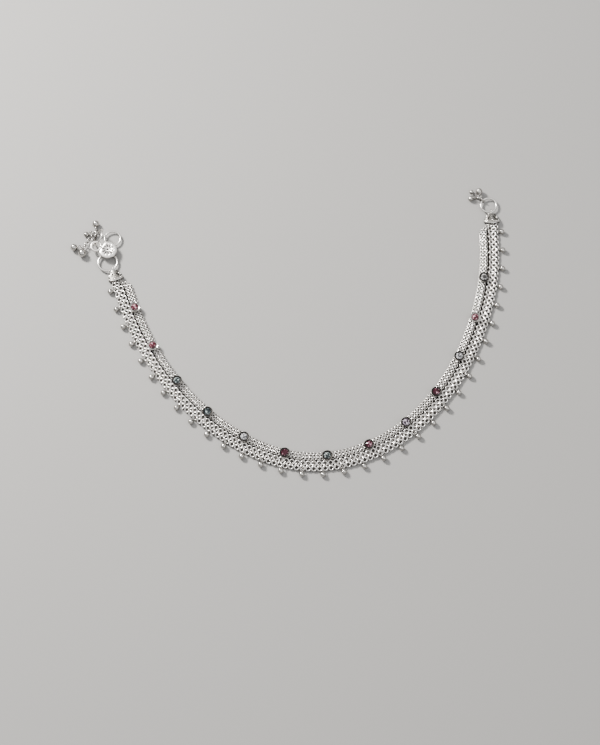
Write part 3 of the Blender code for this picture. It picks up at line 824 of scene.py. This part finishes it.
# The two woven strips
def woven_rows(middle, row_count, step, pitch, height, lean, late=0.0):
    """Rows of ring places. Every other row sits half a pitch on and leans the other way.

    Late shifts them all along the band by a share of the pitch."""
    first = -int((STRIP_RUN - ROW_END_MARGIN) / pitch) * pitch
    count = round((BAND_LENGTH - 2 * first) / pitch)
    rows = []
    for row in range(row_count):
        second = row % 2
        places = count if second or late else count + 1
        across = middle + (row - (row_count - 1) / 2) * step
        path = []
        for index in range(places):
            distance = first + (index + late + 0.5 * second) * pitch
            size = 1.0 - (1.0 - GATHERED_LINK) * gathering(distance)
            point = band_point(distance, gathered(distance, across), height)
            path.append((point, -lean if second else lean, size))
        rows.append(path)
    return rows


def weave(name, paths, rows, link, sides, finish, node):
    """Lays rings of one size on the rows of places, and lets them stand for their node."""
    settings = {
        "Ring Radius": link[0], "Wire Radius": link[1], "Ring Sides": sides, "Finish": MATERIALS[finish],
    }
    dress(grown(name, RING_ROWS, path_mesh(paths, rows), settings), "woven_silver", node)


def make_net():
    rows = woven_rows(NET_MIDDLE, NET_ROWS, NET_ROW_STEP, NET_LINK_PITCH, NET_HEIGHT, NET_LEAN)
    weave("woven_net", "net_paths", rows, NET_LINK, LINK_SIDES, "net_silver", "outer_net")
    # Near-black rings under the net: painted shade in its holes
    rows = woven_rows(NET_MIDDLE, NET_ROWS, NET_ROW_STEP, NET_LINK_PITCH, UNDER_HEIGHT, 0.0, UNDER_SHIFT)
    weave("net_underside", "under_paths", rows, UNDER_LINK, LINK_SIDES, "under_silver", "outer_net")


def make_strip():
    rows = woven_rows(
        STRIP_MIDDLE, STRIP_ROWS, STRIP_ROW_STEP, STRIP_LINK_PITCH, STRIP_HEIGHT, STRIP_LEAN
    )
    weave("woven_strip", "strip_paths", rows, STRIP_LINK, STRIP_LINK_SIDES, "strip_silver", "inner_strip")
    # The core is partly oxide and partly painted shade; the seam sheet is painted shade
    runs = [
        (flat_run(STRIP_MIDDLE, *STRIP_CORE), Matrix.Identity(4), "under_silver"),
        (flat_run(SEAM_MIDDLE, *SEAM_SHADE_SHEET), Matrix.Identity(4), "tarnish"),
    ]
    dress(assemble("strip_core", runs), "woven_silver", "inner_strip")


def flat_run(middle, width, thickness):
    """A flat dark strip that follows the band: under the rings, the strip's heart, partly oxide and partly
    painted shade, and in the seam, a sheet of painted shade.
    """
    reach = STRIP_RUN - RUN_END_MARGIN
    bm = bmesh.new()
    sections = []
    for step in range(RUN_STEPS + 1):
        distance = -reach + (BAND_LENGTH + 2 * reach) * step / RUN_STEPS
        outer, inner = (gathered(distance, middle + side * width / 2) for side in (-1, 1))
        corners = ((outer, 0.0), (inner, 0.0), (inner, thickness), (outer, thickness))
        sections.append([
            bm.verts.new(band_point(distance, inward, CORE_HEIGHT + rise)) for inward, rise in corners
        ])
    for here, there in zip(sections, sections[1:]):
        for side in range(4):
            after = (side + 1) % 4
            bm.faces.new((here[side], here[after], there[after], there[side]))
    bm.faces.new(reversed(sections[0]))
    bm.faces.new(sections[-1])
    return smooth_mesh(bm, "run")


# Ball fringe
def make_balls():
    path = [(band_point(index * BALL_PITCH, 0.0, BALL_HEIGHT), 0.0, 1.0) for index in range(BALL_COUNT)]
    balls = grown(
        "ball_fringe", HUNG_BALLS, path_mesh("ball_path", [path]), {"Finish": MATERIALS["ball_silver"]}
    )
    dress(balls, "polished_silver", *[f"ball_{index + 1:02d}" for index in range(BALL_COUNT)])


# Bezels and stones
# Half section of a bezel in mm, as (radius, height), from its foot over its rim to the crimp round the stone
BEZEL_WALL = ((1.00, 0.60), (1.00, 1.55), (1.85, 1.80), (1.87, 1.90), (1.87, 2.40))
BEZEL_RIM = ((1.87, 2.40), (1.86, 2.53), (1.80, 2.60), (1.74, 2.58), (1.71, 2.50), (1.70, 2.25))
BEZEL_GROOVE = ((1.70, 2.25), (1.62, 2.16), (1.44, 2.16))
BEZEL_CRIMP = ((1.44, 2.16), (1.43, 2.40), (1.39, 2.46), (1.34, 2.46), (1.29, 2.42))
BEZEL_SEAT = ((1.29, 2.42), (1.36, 2.25), (0.0, 1.30))


def open_turned(profile):
    """A turned sheet whose outer faces point away from the metal."""
    bm = bmesh.new()
    points = [bm.verts.new((radius * MM, 0, height * MM)) for radius, height in profile]
    edges = [bm.edges.new(pair) for pair in zip(points, points[1:])]
    bmesh.ops.spin(
        bm, geom=points + edges, cent=(0, 0, 0), axis=(0, 0, 1), angle=math.tau, steps=BEZEL_SIDES,
        use_duplicate=False, use_merge=True,
    )
    bmesh.ops.remove_doubles(bm, verts=bm.verts, dist=WELD_DISTANCE)
    return finished_mesh(bm, "turned")


def make_bezels():
    """A bezel for each stone: the rose stones' rims and grooves are bright, and the others' are dark."""
    wall, rim, groove, crimp, seat = (
        open_turned(profile) for profile in (BEZEL_WALL, BEZEL_RIM, BEZEL_GROOVE, BEZEL_CRIMP, BEZEL_SEAT)
    )
    parts = []
    for distance, finish in zip(stone_places(), STONES):
        place = band_frame(distance, STONE_MIDDLE)
        bright = finish == "rose"
        rim_finish = "bezel_silver" if bright else "dark_silver"
        # The other stones' grooves are near black, partly oxide and partly painted shade
        groove_finish = "bezel_silver" if bright else "tarnish"
        parts += [
            (wall, place, "bezel_silver"), (rim, place, rim_finish), (groove, place, groove_finish),
            (crimp, place, "dark_silver"), (seat, place, "tarnish"),
        ]
    dress(assemble("bezels", parts), "polished_silver", "inner_strip")


# Zones of a stone, as shares of its radius, and the painted brightness of their facets, from painted shade
# to painted glint
GIRDLE_ZONE = 0.85
CROWN_ZONE = 0.45
GIRDLE_SHADE = 0.3
PLAIN_SHADE = 0.5
FLASH_SHADE = 0.75
TABLE_SHADE = 0.95
TABLE_FLASH = 0.86


def facet_shade(centre, sparkle, draw):
    """How bright a facet is painted: painted shade round the girdle, painted glints on the crown and mostly
    painted shade on the table.
    """
    reach = math.hypot(centre.x, centre.y)
    value = draw.random()
    if reach > GIRDLE_ZONE * STONE_RADIUS or centre.z < 0:
        return GIRDLE_SHADE * value
    if reach > CROWN_ZONE * STONE_RADIUS:
        flash = FLASH_SHADE + (1 - FLASH_SHADE) * value
        return flash if value < sparkle else PLAIN_SHADE * (value - sparkle)
    return TABLE_SHADE if value > TABLE_FLASH else PLAIN_SHADE * value


def stone_mesh(seed, sparkle):
    """A round brilliant: table, crown kites, girdle and pavilion, each facet with its own painted
    brightness, from painted shade to painted glint.
    """
    bm = bmesh.new()

    def circle(count, radius, height, turn=0.0):
        for index in range(count):
            angle = math.tau * (index + turn) / count
            bm.verts.new((radius * math.cos(angle), radius * math.sin(angle), height))

    circle(STONE_FACETS, STONE_TABLE, STONE_CROWN)
    circle(STONE_FACETS, CROWN_BREAK[0] * STONE_RADIUS, CROWN_BREAK[1] * STONE_CROWN, 0.5)
    circle(2 * STONE_FACETS, STONE_RADIUS, STONE_GIRDLE, 0.5)
    circle(2 * STONE_FACETS, STONE_RADIUS, -STONE_GIRDLE, 0.5)
    circle(STONE_FACETS, PAVILION_BREAK[0] * STONE_RADIUS, -PAVILION_BREAK[1] * STONE_PAVILION, 0.5)
    bm.verts.new((0, 0, -STONE_PAVILION))
    bmesh.ops.convex_hull(bm, input=bm.verts)
    bmesh.ops.dissolve_limit(bm, angle_limit=math.radians(2), verts=bm.verts, edges=bm.edges)
    bmesh.ops.recalc_face_normals(bm, faces=bm.faces)
    table = max(bm.faces, key=lambda face: face.calc_center_median().z)
    bmesh.ops.poke(bm, faces=[table])
    mesh = plain_mesh(bm, "cut_stone")
    draw = random.Random(seed)
    facet = mesh.attributes.new("facet", "FLOAT", "FACE")
    for polygon in mesh.polygons:
        facet.data[polygon.index].value = facet_shade(polygon.center, sparkle, draw)
    return mesh


def make_stones():
    for index, (distance, finish) in enumerate(zip(stone_places(), STONES)):
        slot, sparkle = GEMS[finish][:2]
        mesh = stone_mesh(index, sparkle)
        turn = spin_about("Z", STONE_TURN * index)
        mesh.transform(band_frame(distance, STONE_MIDDLE, STONE_HEIGHT) @ turn)
        mesh.materials.append(MATERIALS[finish])
        dress(link_object(f"cut_stone_{index + 1:02d}", mesh), slot, f"stone_{index + 1:02d}")


# End caps
def cap_point(along, side, lift=0.0):
    """A point of the cap's arched surface, from mouth 0 to nose 1 and from one edge -1 to the other 1."""
    angle = math.pi * (side + 1) / 2
    width = CAP_MOUTH_WIDTH + (CAP_NOSE_WIDTH - CAP_MOUTH_WIDTH) * along ** 2
    height = CAP_HEIGHT - CAP_NOSE_DROP * along ** 2
    across = -math.cos(angle)
    reach = CAP_BULGE * (1 - across ** 2) * (1 - along)
    rise = 0.0 if abs(across) > EDGE_COSINE else math.sin(angle) ** CAP_SQUARENESS
    start = CAP_START + along * CAP_LENGTH - reach
    return Vector((start, across * width / 2, CAP_FOOT + rise * (height - CAP_FOOT) + lift))


def cap_loop_centre():
    return Vector((CAP_START + CAP_LENGTH + CAP_LOOP_RADIUS - CAP_LOOP_WIRE / 2, 0, RING_HEIGHT))


def slot_cutter(side):
    """A slanted, round-ended cutter through the cap's top."""
    outline = []
    for end in (1, -1):
        for step in range(CAP_SLOT_STEPS + 1):
            angle = math.radians(-90 + 180 * step / CAP_SLOT_STEPS) + (0 if end > 0 else math.pi)
            centre = Vector((end * (CAP_SLOT_LENGTH - CAP_SLOT_WIDTH) / 2, 0, 0))
            outline.append(centre + Vector((math.cos(angle), math.sin(angle), 0)) * CAP_SLOT_WIDTH / 2)
    bm = bmesh.new()
    face = bm.faces.new([bm.verts.new(point) for point in outline])
    top = bmesh.ops.extrude_face_region(bm, geom=[face])["geom"]
    lifted = [item for item in top if isinstance(item, bmesh.types.BMVert)]
    bmesh.ops.translate(bm, verts=lifted, vec=(0, 0, CAP_HEIGHT))
    along = CAP_START + CAP_SLOT_START * CAP_LENGTH
    place = Vector((along, side * CAP_SLOT_SPREAD * CAP_MOUTH_WIDTH, CAP_HEIGHT / 2))
    bmesh.ops.transform(
        bm, verts=bm.verts, matrix=Matrix.Translation(place) @ spin_about("Z", -side * CAP_SLOT_TURN)
    )
    return smooth_mesh(bm, "slot")


def cap_shell():
    """The arched sheet with its wall and its two slots."""
    rows, columns = CAP_GRID
    bm = bmesh.new()
    bmesh.ops.create_grid(bm, x_segments=rows, y_segments=columns, size=0.5)
    for vert in bm.verts:
        vert.co = cap_point(vert.co.x + 0.5, 2 * vert.co.y)
    shell = link_object("shell", smooth_mesh(bm, "shell"))
    wall = shell.modifiers.new("wall", "SOLIDIFY")
    wall.thickness = CAP_WALL
    wall.offset = -1.0
    cutters = [link_object("slot", slot_cutter(side)) for side in (1, -1)]
    for cutter in cutters:
        cut_away(shell, cutter)
    mesh = evaluated_mesh(shell)
    for obj in (shell, *cutters):
        bpy.data.objects.remove(obj)
    return mesh


def cap_arc(along, steps, wire):
    """A wire laid over the cap from one edge to the other."""
    return wire_mesh([cap_point(along, -1 + 2 * step / steps) for step in range(1, steps)], wire)


def cap_swirl(side):
    """A flat spiral of wire on the cap's shoulder."""
    points = []
    for step in range(int(SWIRL_STEPS * SWIRL_TURNS) + 1):
        angle = math.tau * step / SWIRL_STEPS
        size = SWIRL_REACH * (1 - SWIRL_CLOSING * step / (SWIRL_STEPS * SWIRL_TURNS))
        place = (SWIRL_PLACE + size * math.cos(angle), side + SWIRL_SQUASH * size * math.sin(angle))
        points.append(cap_point(*place, SWIRL_LIFT))
    return wire_mesh(points, SWIRL_WIRE)


def make_cap(name, node, end):
    nose_place = Matrix.Translation((CAP_START + CAP_LENGTH - NOSE_BALL_INSET, 0, RING_HEIGHT))
    nose_shape = Matrix.Diagonal(NOSE_BALL_SHAPE)
    loop_place = Matrix.Translation(cap_loop_centre()) @ spin_about("X", 90)
    shoulder = Matrix.Translation(cap_point(*SHOULDER_PLACE))
    flat = Matrix.Identity(4)
    parts = [
        (cap_shell(), flat, "aged_silver"),
        (cap_arc(*CAP_RIM), flat, "cap_silver"),
        (cap_arc(*CAP_NOSE), flat, "cap_silver"),
        (cap_swirl(-SWIRL_SIDE), flat, "cap_silver"),
        (cap_swirl(SWIRL_SIDE), flat, "cap_silver"),
        # The nose ball is near black, partly oxide and partly painted shade
        (ball_mesh(NOSE_BALL, 24, 14), nose_place @ nose_shape, "tarnish"),
        (ball_mesh(SHOULDER_BALL, 20, 12), shoulder, "cap_silver"),
        (ring_mesh(CAP_LOOP_RADIUS, CAP_LOOP_WIRE, LOOP_SIDES), loop_place, "cap_silver"),
    ]
    fit(name, node, end, parts)
    across = [-CAP_BEAD_SPREAD + 2 * CAP_BEAD_SPREAD * index / (CAP_BEADS - 1) for index in range(CAP_BEADS)]
    row = [(CAP_BEAD_LINE, side, 1.0) for side in across]
    middle = [(along, 0.0, 1.2 - 0.4 * along) for along in CAP_MIDDLE_BEADS]
    paths = [
        [(end @ cap_point(along, side, CAP_BEAD_LIFT), 0.0, size) for along, side, size in places]
        for places in (row, middle)
    ]
    beads = grown(
        f"{name}_beads", BEAD_ROWS, path_mesh("bead_paths", paths), {"Finish": MATERIALS["cap_silver"]}
    )
    dress(beads, "polished_silver", node)


# Clasp plate and the rings
def clasp_places():
    """Centres of the link ring, plate, spare ring, plate loop and bell ring in the left end frame."""
    link_ring = out_point(cap_loop_centre(), LINK_RING_TURN, LINK_RING[0])
    plate = out_point(link_ring, PLATE_TURN, LINK_RING[0] + LINK_BAIL_REACH)
    size_ring = out_point(plate, SIZE_RING_TURN, SIZE_BAIL_REACH + SIZE_RING[0])
    loop = out_point(plate, PLATE_LOOP_TURN, PLATE_LOOP_REACH)
    bell_ring = out_point(loop, BELL_RING_TURN, BELL_RING_SEAT + BELL_RING[0])
    bell_ring.z = BELL_RING[0] * math.sin(math.radians(BELL_RING_LEAN)) + BELL_RING[1]
    return link_ring, plate, size_ring, loop, bell_ring


def bell_ring_turn():
    return spin_about("Z", BELL_RING_TURN) @ spin_about("X", -BELL_RING_LEAN)


def flat_ring(name, node, end, centre, sizes, opening, turn):
    """A wire ring that lies flat, with its cut joint opened and turned that far, in degrees."""
    place = end @ Matrix.Translation(centre) @ spin_about("Z", turn)
    parts = [(ring_mesh(*sizes, RING_SIDES, opening), place, "ring_silver")]
    dress(assemble(name, parts), "polished_silver", node)


# The plate's edge from underneath to the top, as shares of its outline's size and of its thickness
PLATE_SECTION = ((0.92, 0.0), (0.98, 0.1), (1.0, 0.3), (1.0, 0.6), (0.975, 0.8), (0.93, 0.9), (0.75, 0.96))


def plate_outline(angle):
    """The outline's point at an angle: round, but softly flat on the loop's side."""
    x = PLATE_RADIUS * math.cos(angle)
    y = PLATE_RADIUS * math.sin(angle)
    inside = PLATE_SOFTNESS * math.log1p(math.exp((PLATE_FLAT - x) / PLATE_SOFTNESS))
    return Vector((PLATE_FLAT - inside, y, 0))


def plate_mesh():
    """The stamped plate: a bevelled body with the sunburst's petals sunk in it."""
    bm = bmesh.new()
    loops = []
    for size, rise in PLATE_SECTION:
        lift = Vector((0, 0, rise * PLATE_THICKNESS))
        loops.append([
            bm.verts.new(plate_outline(math.tau * step / PLATE_SIDES) * size + lift)
            for step in range(PLATE_SIDES)
        ])
    low = bm.verts.new((0, 0, 0))
    high = bm.verts.new((0, 0, PLATE_THICKNESS))
    for step in range(PLATE_SIDES):
        after = (step + 1) % PLATE_SIDES
        bm.faces.new((low, loops[0][after], loops[0][step]))
        bm.faces.new((high, loops[-1][step], loops[-1][after]))
        for below, above in zip(loops, loops[1:]):
            bm.faces.new((below[step], below[after], above[after], above[step]))
    mesh = smooth_mesh(bm, "plate", 60)
    mesh.materials.append(MATERIALS["plate_silver"])
    body = link_object("plate_body", mesh)
    petals = petal_cutter()
    cut_away(body, petals).material_mode = "TRANSFER"
    made = evaluated_mesh(body)
    bpy.data.objects.remove(body)
    bpy.data.objects.remove(petals)
    return made


def petal_cutter():
    """The sunburst as one cutter: long and short petals in turn round a small centre."""
    bm = bmesh.new()
    places = []
    for index in range(PETAL_COUNT):
        reach, length = SHORT_PETAL if index % 2 else LONG_PETAL
        shape = Matrix.Diagonal((length, PETAL_WIDTH, PETAL_DEPTH, 1.0))
        turn = spin_about("Z", 360 * index / PETAL_COUNT + PETAL_TURN)
        places.append(turn @ Matrix.Translation((reach, 0, PLATE_THICKNESS)) @ shape)
    dimple = Matrix.Diagonal((DIMPLE_RADIUS, DIMPLE_RADIUS, DIMPLE_DEPTH, 1.0))
    places.append(Matrix.Translation((0, 0, PLATE_THICKNESS)) @ dimple)
    for place in places:
        bmesh.ops.create_uvsphere(
            bm, u_segments=PETAL_SEGMENTS, v_segments=PETAL_RINGS, radius=1.0, matrix=place
        )
    mesh = smooth_mesh(bm, "petals")
    # The sunk petals take this near-black finish: partly oxide and partly painted shade
    mesh.materials.append(MATERIALS["tarnish"])
    return link_object("petals", mesh)


def upright_ring(place, turn, radius, wire):
    matrix = Matrix.Translation(place) @ spin_about("Z", turn) @ spin_about("X", 90)
    return ring_mesh(radius, wire, LOOP_SIDES), matrix


def make_clasp():
    end = end_frame(False)
    link_ring, plate, size_ring, loop, bell_ring = clasp_places()
    flat_ring("open_ring", "link_ring_left", end, link_ring, LINK_RING, *LINK_RING_JOINT)
    flat_ring("spare_ring", "size_ring", end, size_ring, SIZE_RING, *SIZE_RING_JOINT)
    place = Matrix.Translation((plate.x, plate.y, PLATE_BOTTOM)) @ spin_about("Z", PLATE_FLAT_TURN)
    body = plate_mesh()
    body.transform(end @ place)
    stamped = link_object("stamped_plate", body)
    dress(stamped, "polished_silver", "clasp_plate")
    loop_place = Matrix.Translation((loop.x, loop.y, PLATE_BOTTOM + PLATE_THICKNESS / 2))
    link_bail = out_point(plate, PLATE_TURN + 180, LINK_BAIL_REACH)
    size_bail = out_point(plate, SIZE_RING_TURN, SIZE_BAIL_REACH)
    fittings = [
        (*upright_ring(link_bail, PLATE_TURN, *BAIL), "ring_silver"),
        (*upright_ring(size_bail, SIZE_RING_TURN, *BAIL), "ring_silver"),
        (ring_mesh(*PLATE_LOOP, PLATE_LOOP_SIDES), loop_place, "plate_silver"),
    ]
    fit("plate_loops", "clasp_plate", end, fittings)
    lean = end @ Matrix.Translation(bell_ring) @ bell_ring_turn()
    leaning = ring_mesh(BELL_RING[0] * BELL_RING_FIT, BELL_RING[1], RING_SIDES)
    dress(assemble("leaning_ring", [(leaning, lean, "ring_silver")]), "polished_silver", "bell_ring")


# Bells
def link_run(start, end):
    """Small interlinked rings in line between two points, each at right angles to the last."""
    run = end - start
    count = max(1, round(run.length / SMALL_LINK_PITCH))
    radius = run.length / count / 2 + SMALL_LINK_WIRE
    along = run.normalized()
    across = Vector((0, 0, 1)).cross(along).normalized()
    lift = along.cross(across)
    links = []
    for index in range(count):
        side, normal = (across, lift) if index % 2 else (lift, -across)
        turn = Matrix((along, side, normal)).transposed().to_4x4()
        place = Matrix.Translation(start + run * ((index + 0.5) / count)) @ turn
        links.append((ring_mesh(radius, SMALL_LINK_WIRE, SMALL_LINK_SIDES), place, "bell_silver"))
    return links


def make_bells(name, node, end, hook, outwards, chain, bells):
    hub = hook.translation + outwards * HOOK_RADIUS * math.cos(math.pi / HOOK_SIDES)
    last = hub + Vector((*chain, 0)) * HOOK_RADIUS
    parts = [(ring_mesh(HOOK_RADIUS, LINK_WIRE, LOOP_SIDES), hook, "bell_silver")]
    parts += link_run(hub, last)
    for out, across, size, share in bells:
        radius = size * HOOK_RADIUS
        place = hub + Vector((out, across, 0)) * HOOK_RADIUS
        place.z = radius
        start = hub.lerp(last, share)
        reach = (place - start).normalized()
        neck = place - reach * radius
        parts += link_run(start, neck)
        parts.append((ball_mesh(radius * BELL_FIT), Matrix.Translation(place), "bell_silver"))
        parts.append((ball_mesh(BELL_NECK * radius, 16, 10), Matrix.Translation(neck), "bell_silver"))
    fit(name, node, end, parts)


def hook_frame(wire, along, outwards, ring_wire):
    """A frame whose Z axis runs along a ring's wire, with the hook link just clear of that wire."""
    offset = HOOK_RADIUS - LINK_WIRE - ring_wire - LINK_GAP
    turn = Matrix((outwards, along.cross(outwards), along)).transposed().to_4x4()
    return Matrix.Translation(wire + outwards * offset) @ turn


def make_left_bells():
    turn = bell_ring_turn().to_3x3()
    angle = math.radians(LEFT_HOOK_TURN)
    wire = clasp_places()[-1] + turn @ Vector((math.cos(angle), math.sin(angle), 0)) * BELL_RING[0]
    along = turn @ Vector((-math.sin(angle), math.cos(angle), 0))
    outwards = along.cross(Vector((0, 0, 1))).normalized()
    hook = hook_frame(wire, along, outwards, BELL_RING[1])
    make_bells("left_bells", "bells_left", end_frame(False), hook, outwards, LEFT_CHAIN, LEFT_BELLS)


def make_right_end():
    end = end_frame(True)
    ring = out_point(cap_loop_centre(), RIGHT_RING_TURN, RIGHT_RING[0])
    flat_ring("right_ring", "link_ring_right", end, ring, RIGHT_RING, *RIGHT_RING_JOINT)
    outwards = out_point(Vector((0, 0, 0)), RIGHT_HOOK_TURN, 1.0)
    along = Vector((0, 0, 1)).cross(outwards)
    hook = hook_frame(ring + outwards * RIGHT_RING[0], along, outwards, RIGHT_RING[1])
    make_bells("right_bells", "bells_right", end, hook, outwards, RIGHT_CHAIN, RIGHT_BELLS)


# Floor, and lights as (place in metres, size, energy, colour)
FLOOR_REACH = 2.0
FLOOR_DROP = 0.01 * MM
FLOOR_COLOUR = (0.29, 0.284, 0.275, 1.0)
FLOOR_ROUGHNESS = 0.7
KEY_LIGHT = ((-0.40, 0.34, 0.42), 0.12, 14.0, (1.0, 0.975, 0.94))
FILL_LIGHT = ((0.50, -0.35, 0.45), 0.35, 1.0, (0.95, 0.97, 1.0))


def make_stage():
    bm = bmesh.new()
    bmesh.ops.create_grid(bm, x_segments=1, y_segments=1, size=FLOOR_REACH)
    bmesh.ops.translate(bm, verts=bm.verts, vec=(0, 0, -FLOOR_DROP))
    mesh = plain_mesh(bm, "floor")
    made, _, shader = new_material("floor")
    shader.inputs["Base Color"].default_value = FLOOR_COLOUR
    shader.inputs["Roughness"].default_value = FLOOR_ROUGHNESS
    mesh.materials.append(made)
    link_object("floor", mesh)


def area_light(name, place, size, energy, colour):
    """A square light that points at the middle of the anklet."""
    data = bpy.data.lights.new(name, "AREA")
    data.size = size
    data.energy = energy
    data.color = colour
    light = link_object(name, data)
    light.location = place
    light.rotation_euler = (-Vector(place)).to_track_quat("-Z", "Y").to_euler()


def make_lights():
    """A dome, bright overhead and dark near the floor, a soft key from the upper left and a weak fill."""
    world = bpy.data.worlds.new("studio")
    bpy.context.scene.world = world
    world.use_nodes = True
    tree = world.node_tree
    place = add_node(tree, "ShaderNodeTexCoord")
    split = add_node(tree, "ShaderNodeSeparateXYZ", {"Vector": place.outputs["Generated"]})
    rise = remap(tree, split.outputs["Z"], 0.12, 0.95, 0.08, 1.4, "SMOOTHSTEP")
    back = tree.nodes["Background"]
    back.inputs["Strength"].default_value = 1.0
    tree.links.new(rise, back.inputs["Color"])
    area_light("key", *KEY_LIGHT)
    area_light("fill", *FILL_LIGHT)


# Camera: the picture's middle, from the first ball, and the size of a pixel there
VIEW_ELEVATION = 68.0
LENS = 100.0
SENSOR = 36.0
FRAME_HEIGHT = 745
PIXEL = 0.3607 * MM
AIM_FROM_BALL = (69.46 * MM, -31.55 * MM)


def make_camera():
    data = bpy.data.cameras.new("camera")
    data.lens = LENS
    data.sensor_width = SENSOR
    camera = link_object("camera", data)
    first = band_point(0.0, 0.0)
    aim = Vector((first.x + AIM_FROM_BALL[0], first.y + AIM_FROM_BALL[1], 0))
    distance = FRAME_HEIGHT * PIXEL / 2 / (SENSOR / 2 / LENS)
    tilt = math.radians(VIEW_ELEVATION)
    camera.location = aim + Vector((0, -math.cos(tilt), math.sin(tilt))) * distance
    camera.rotation_euler = (math.radians(90 - VIEW_ELEVATION), 0, 0)
    bpy.context.scene.camera = camera


RING_ROWS = ring_rows()
HUNG_BALLS = hung_balls()
BEAD_ROWS = bead_rows()

make_camera()
make_net()
make_strip()
make_balls()
make_bezels()
make_stones()
make_cap("left_cap", "end_cap_left", end_frame(False))
make_cap("right_cap", "end_cap_right", end_frame(True))
make_clasp()
make_left_bells()
make_right_end()
make_stage()
make_lights()
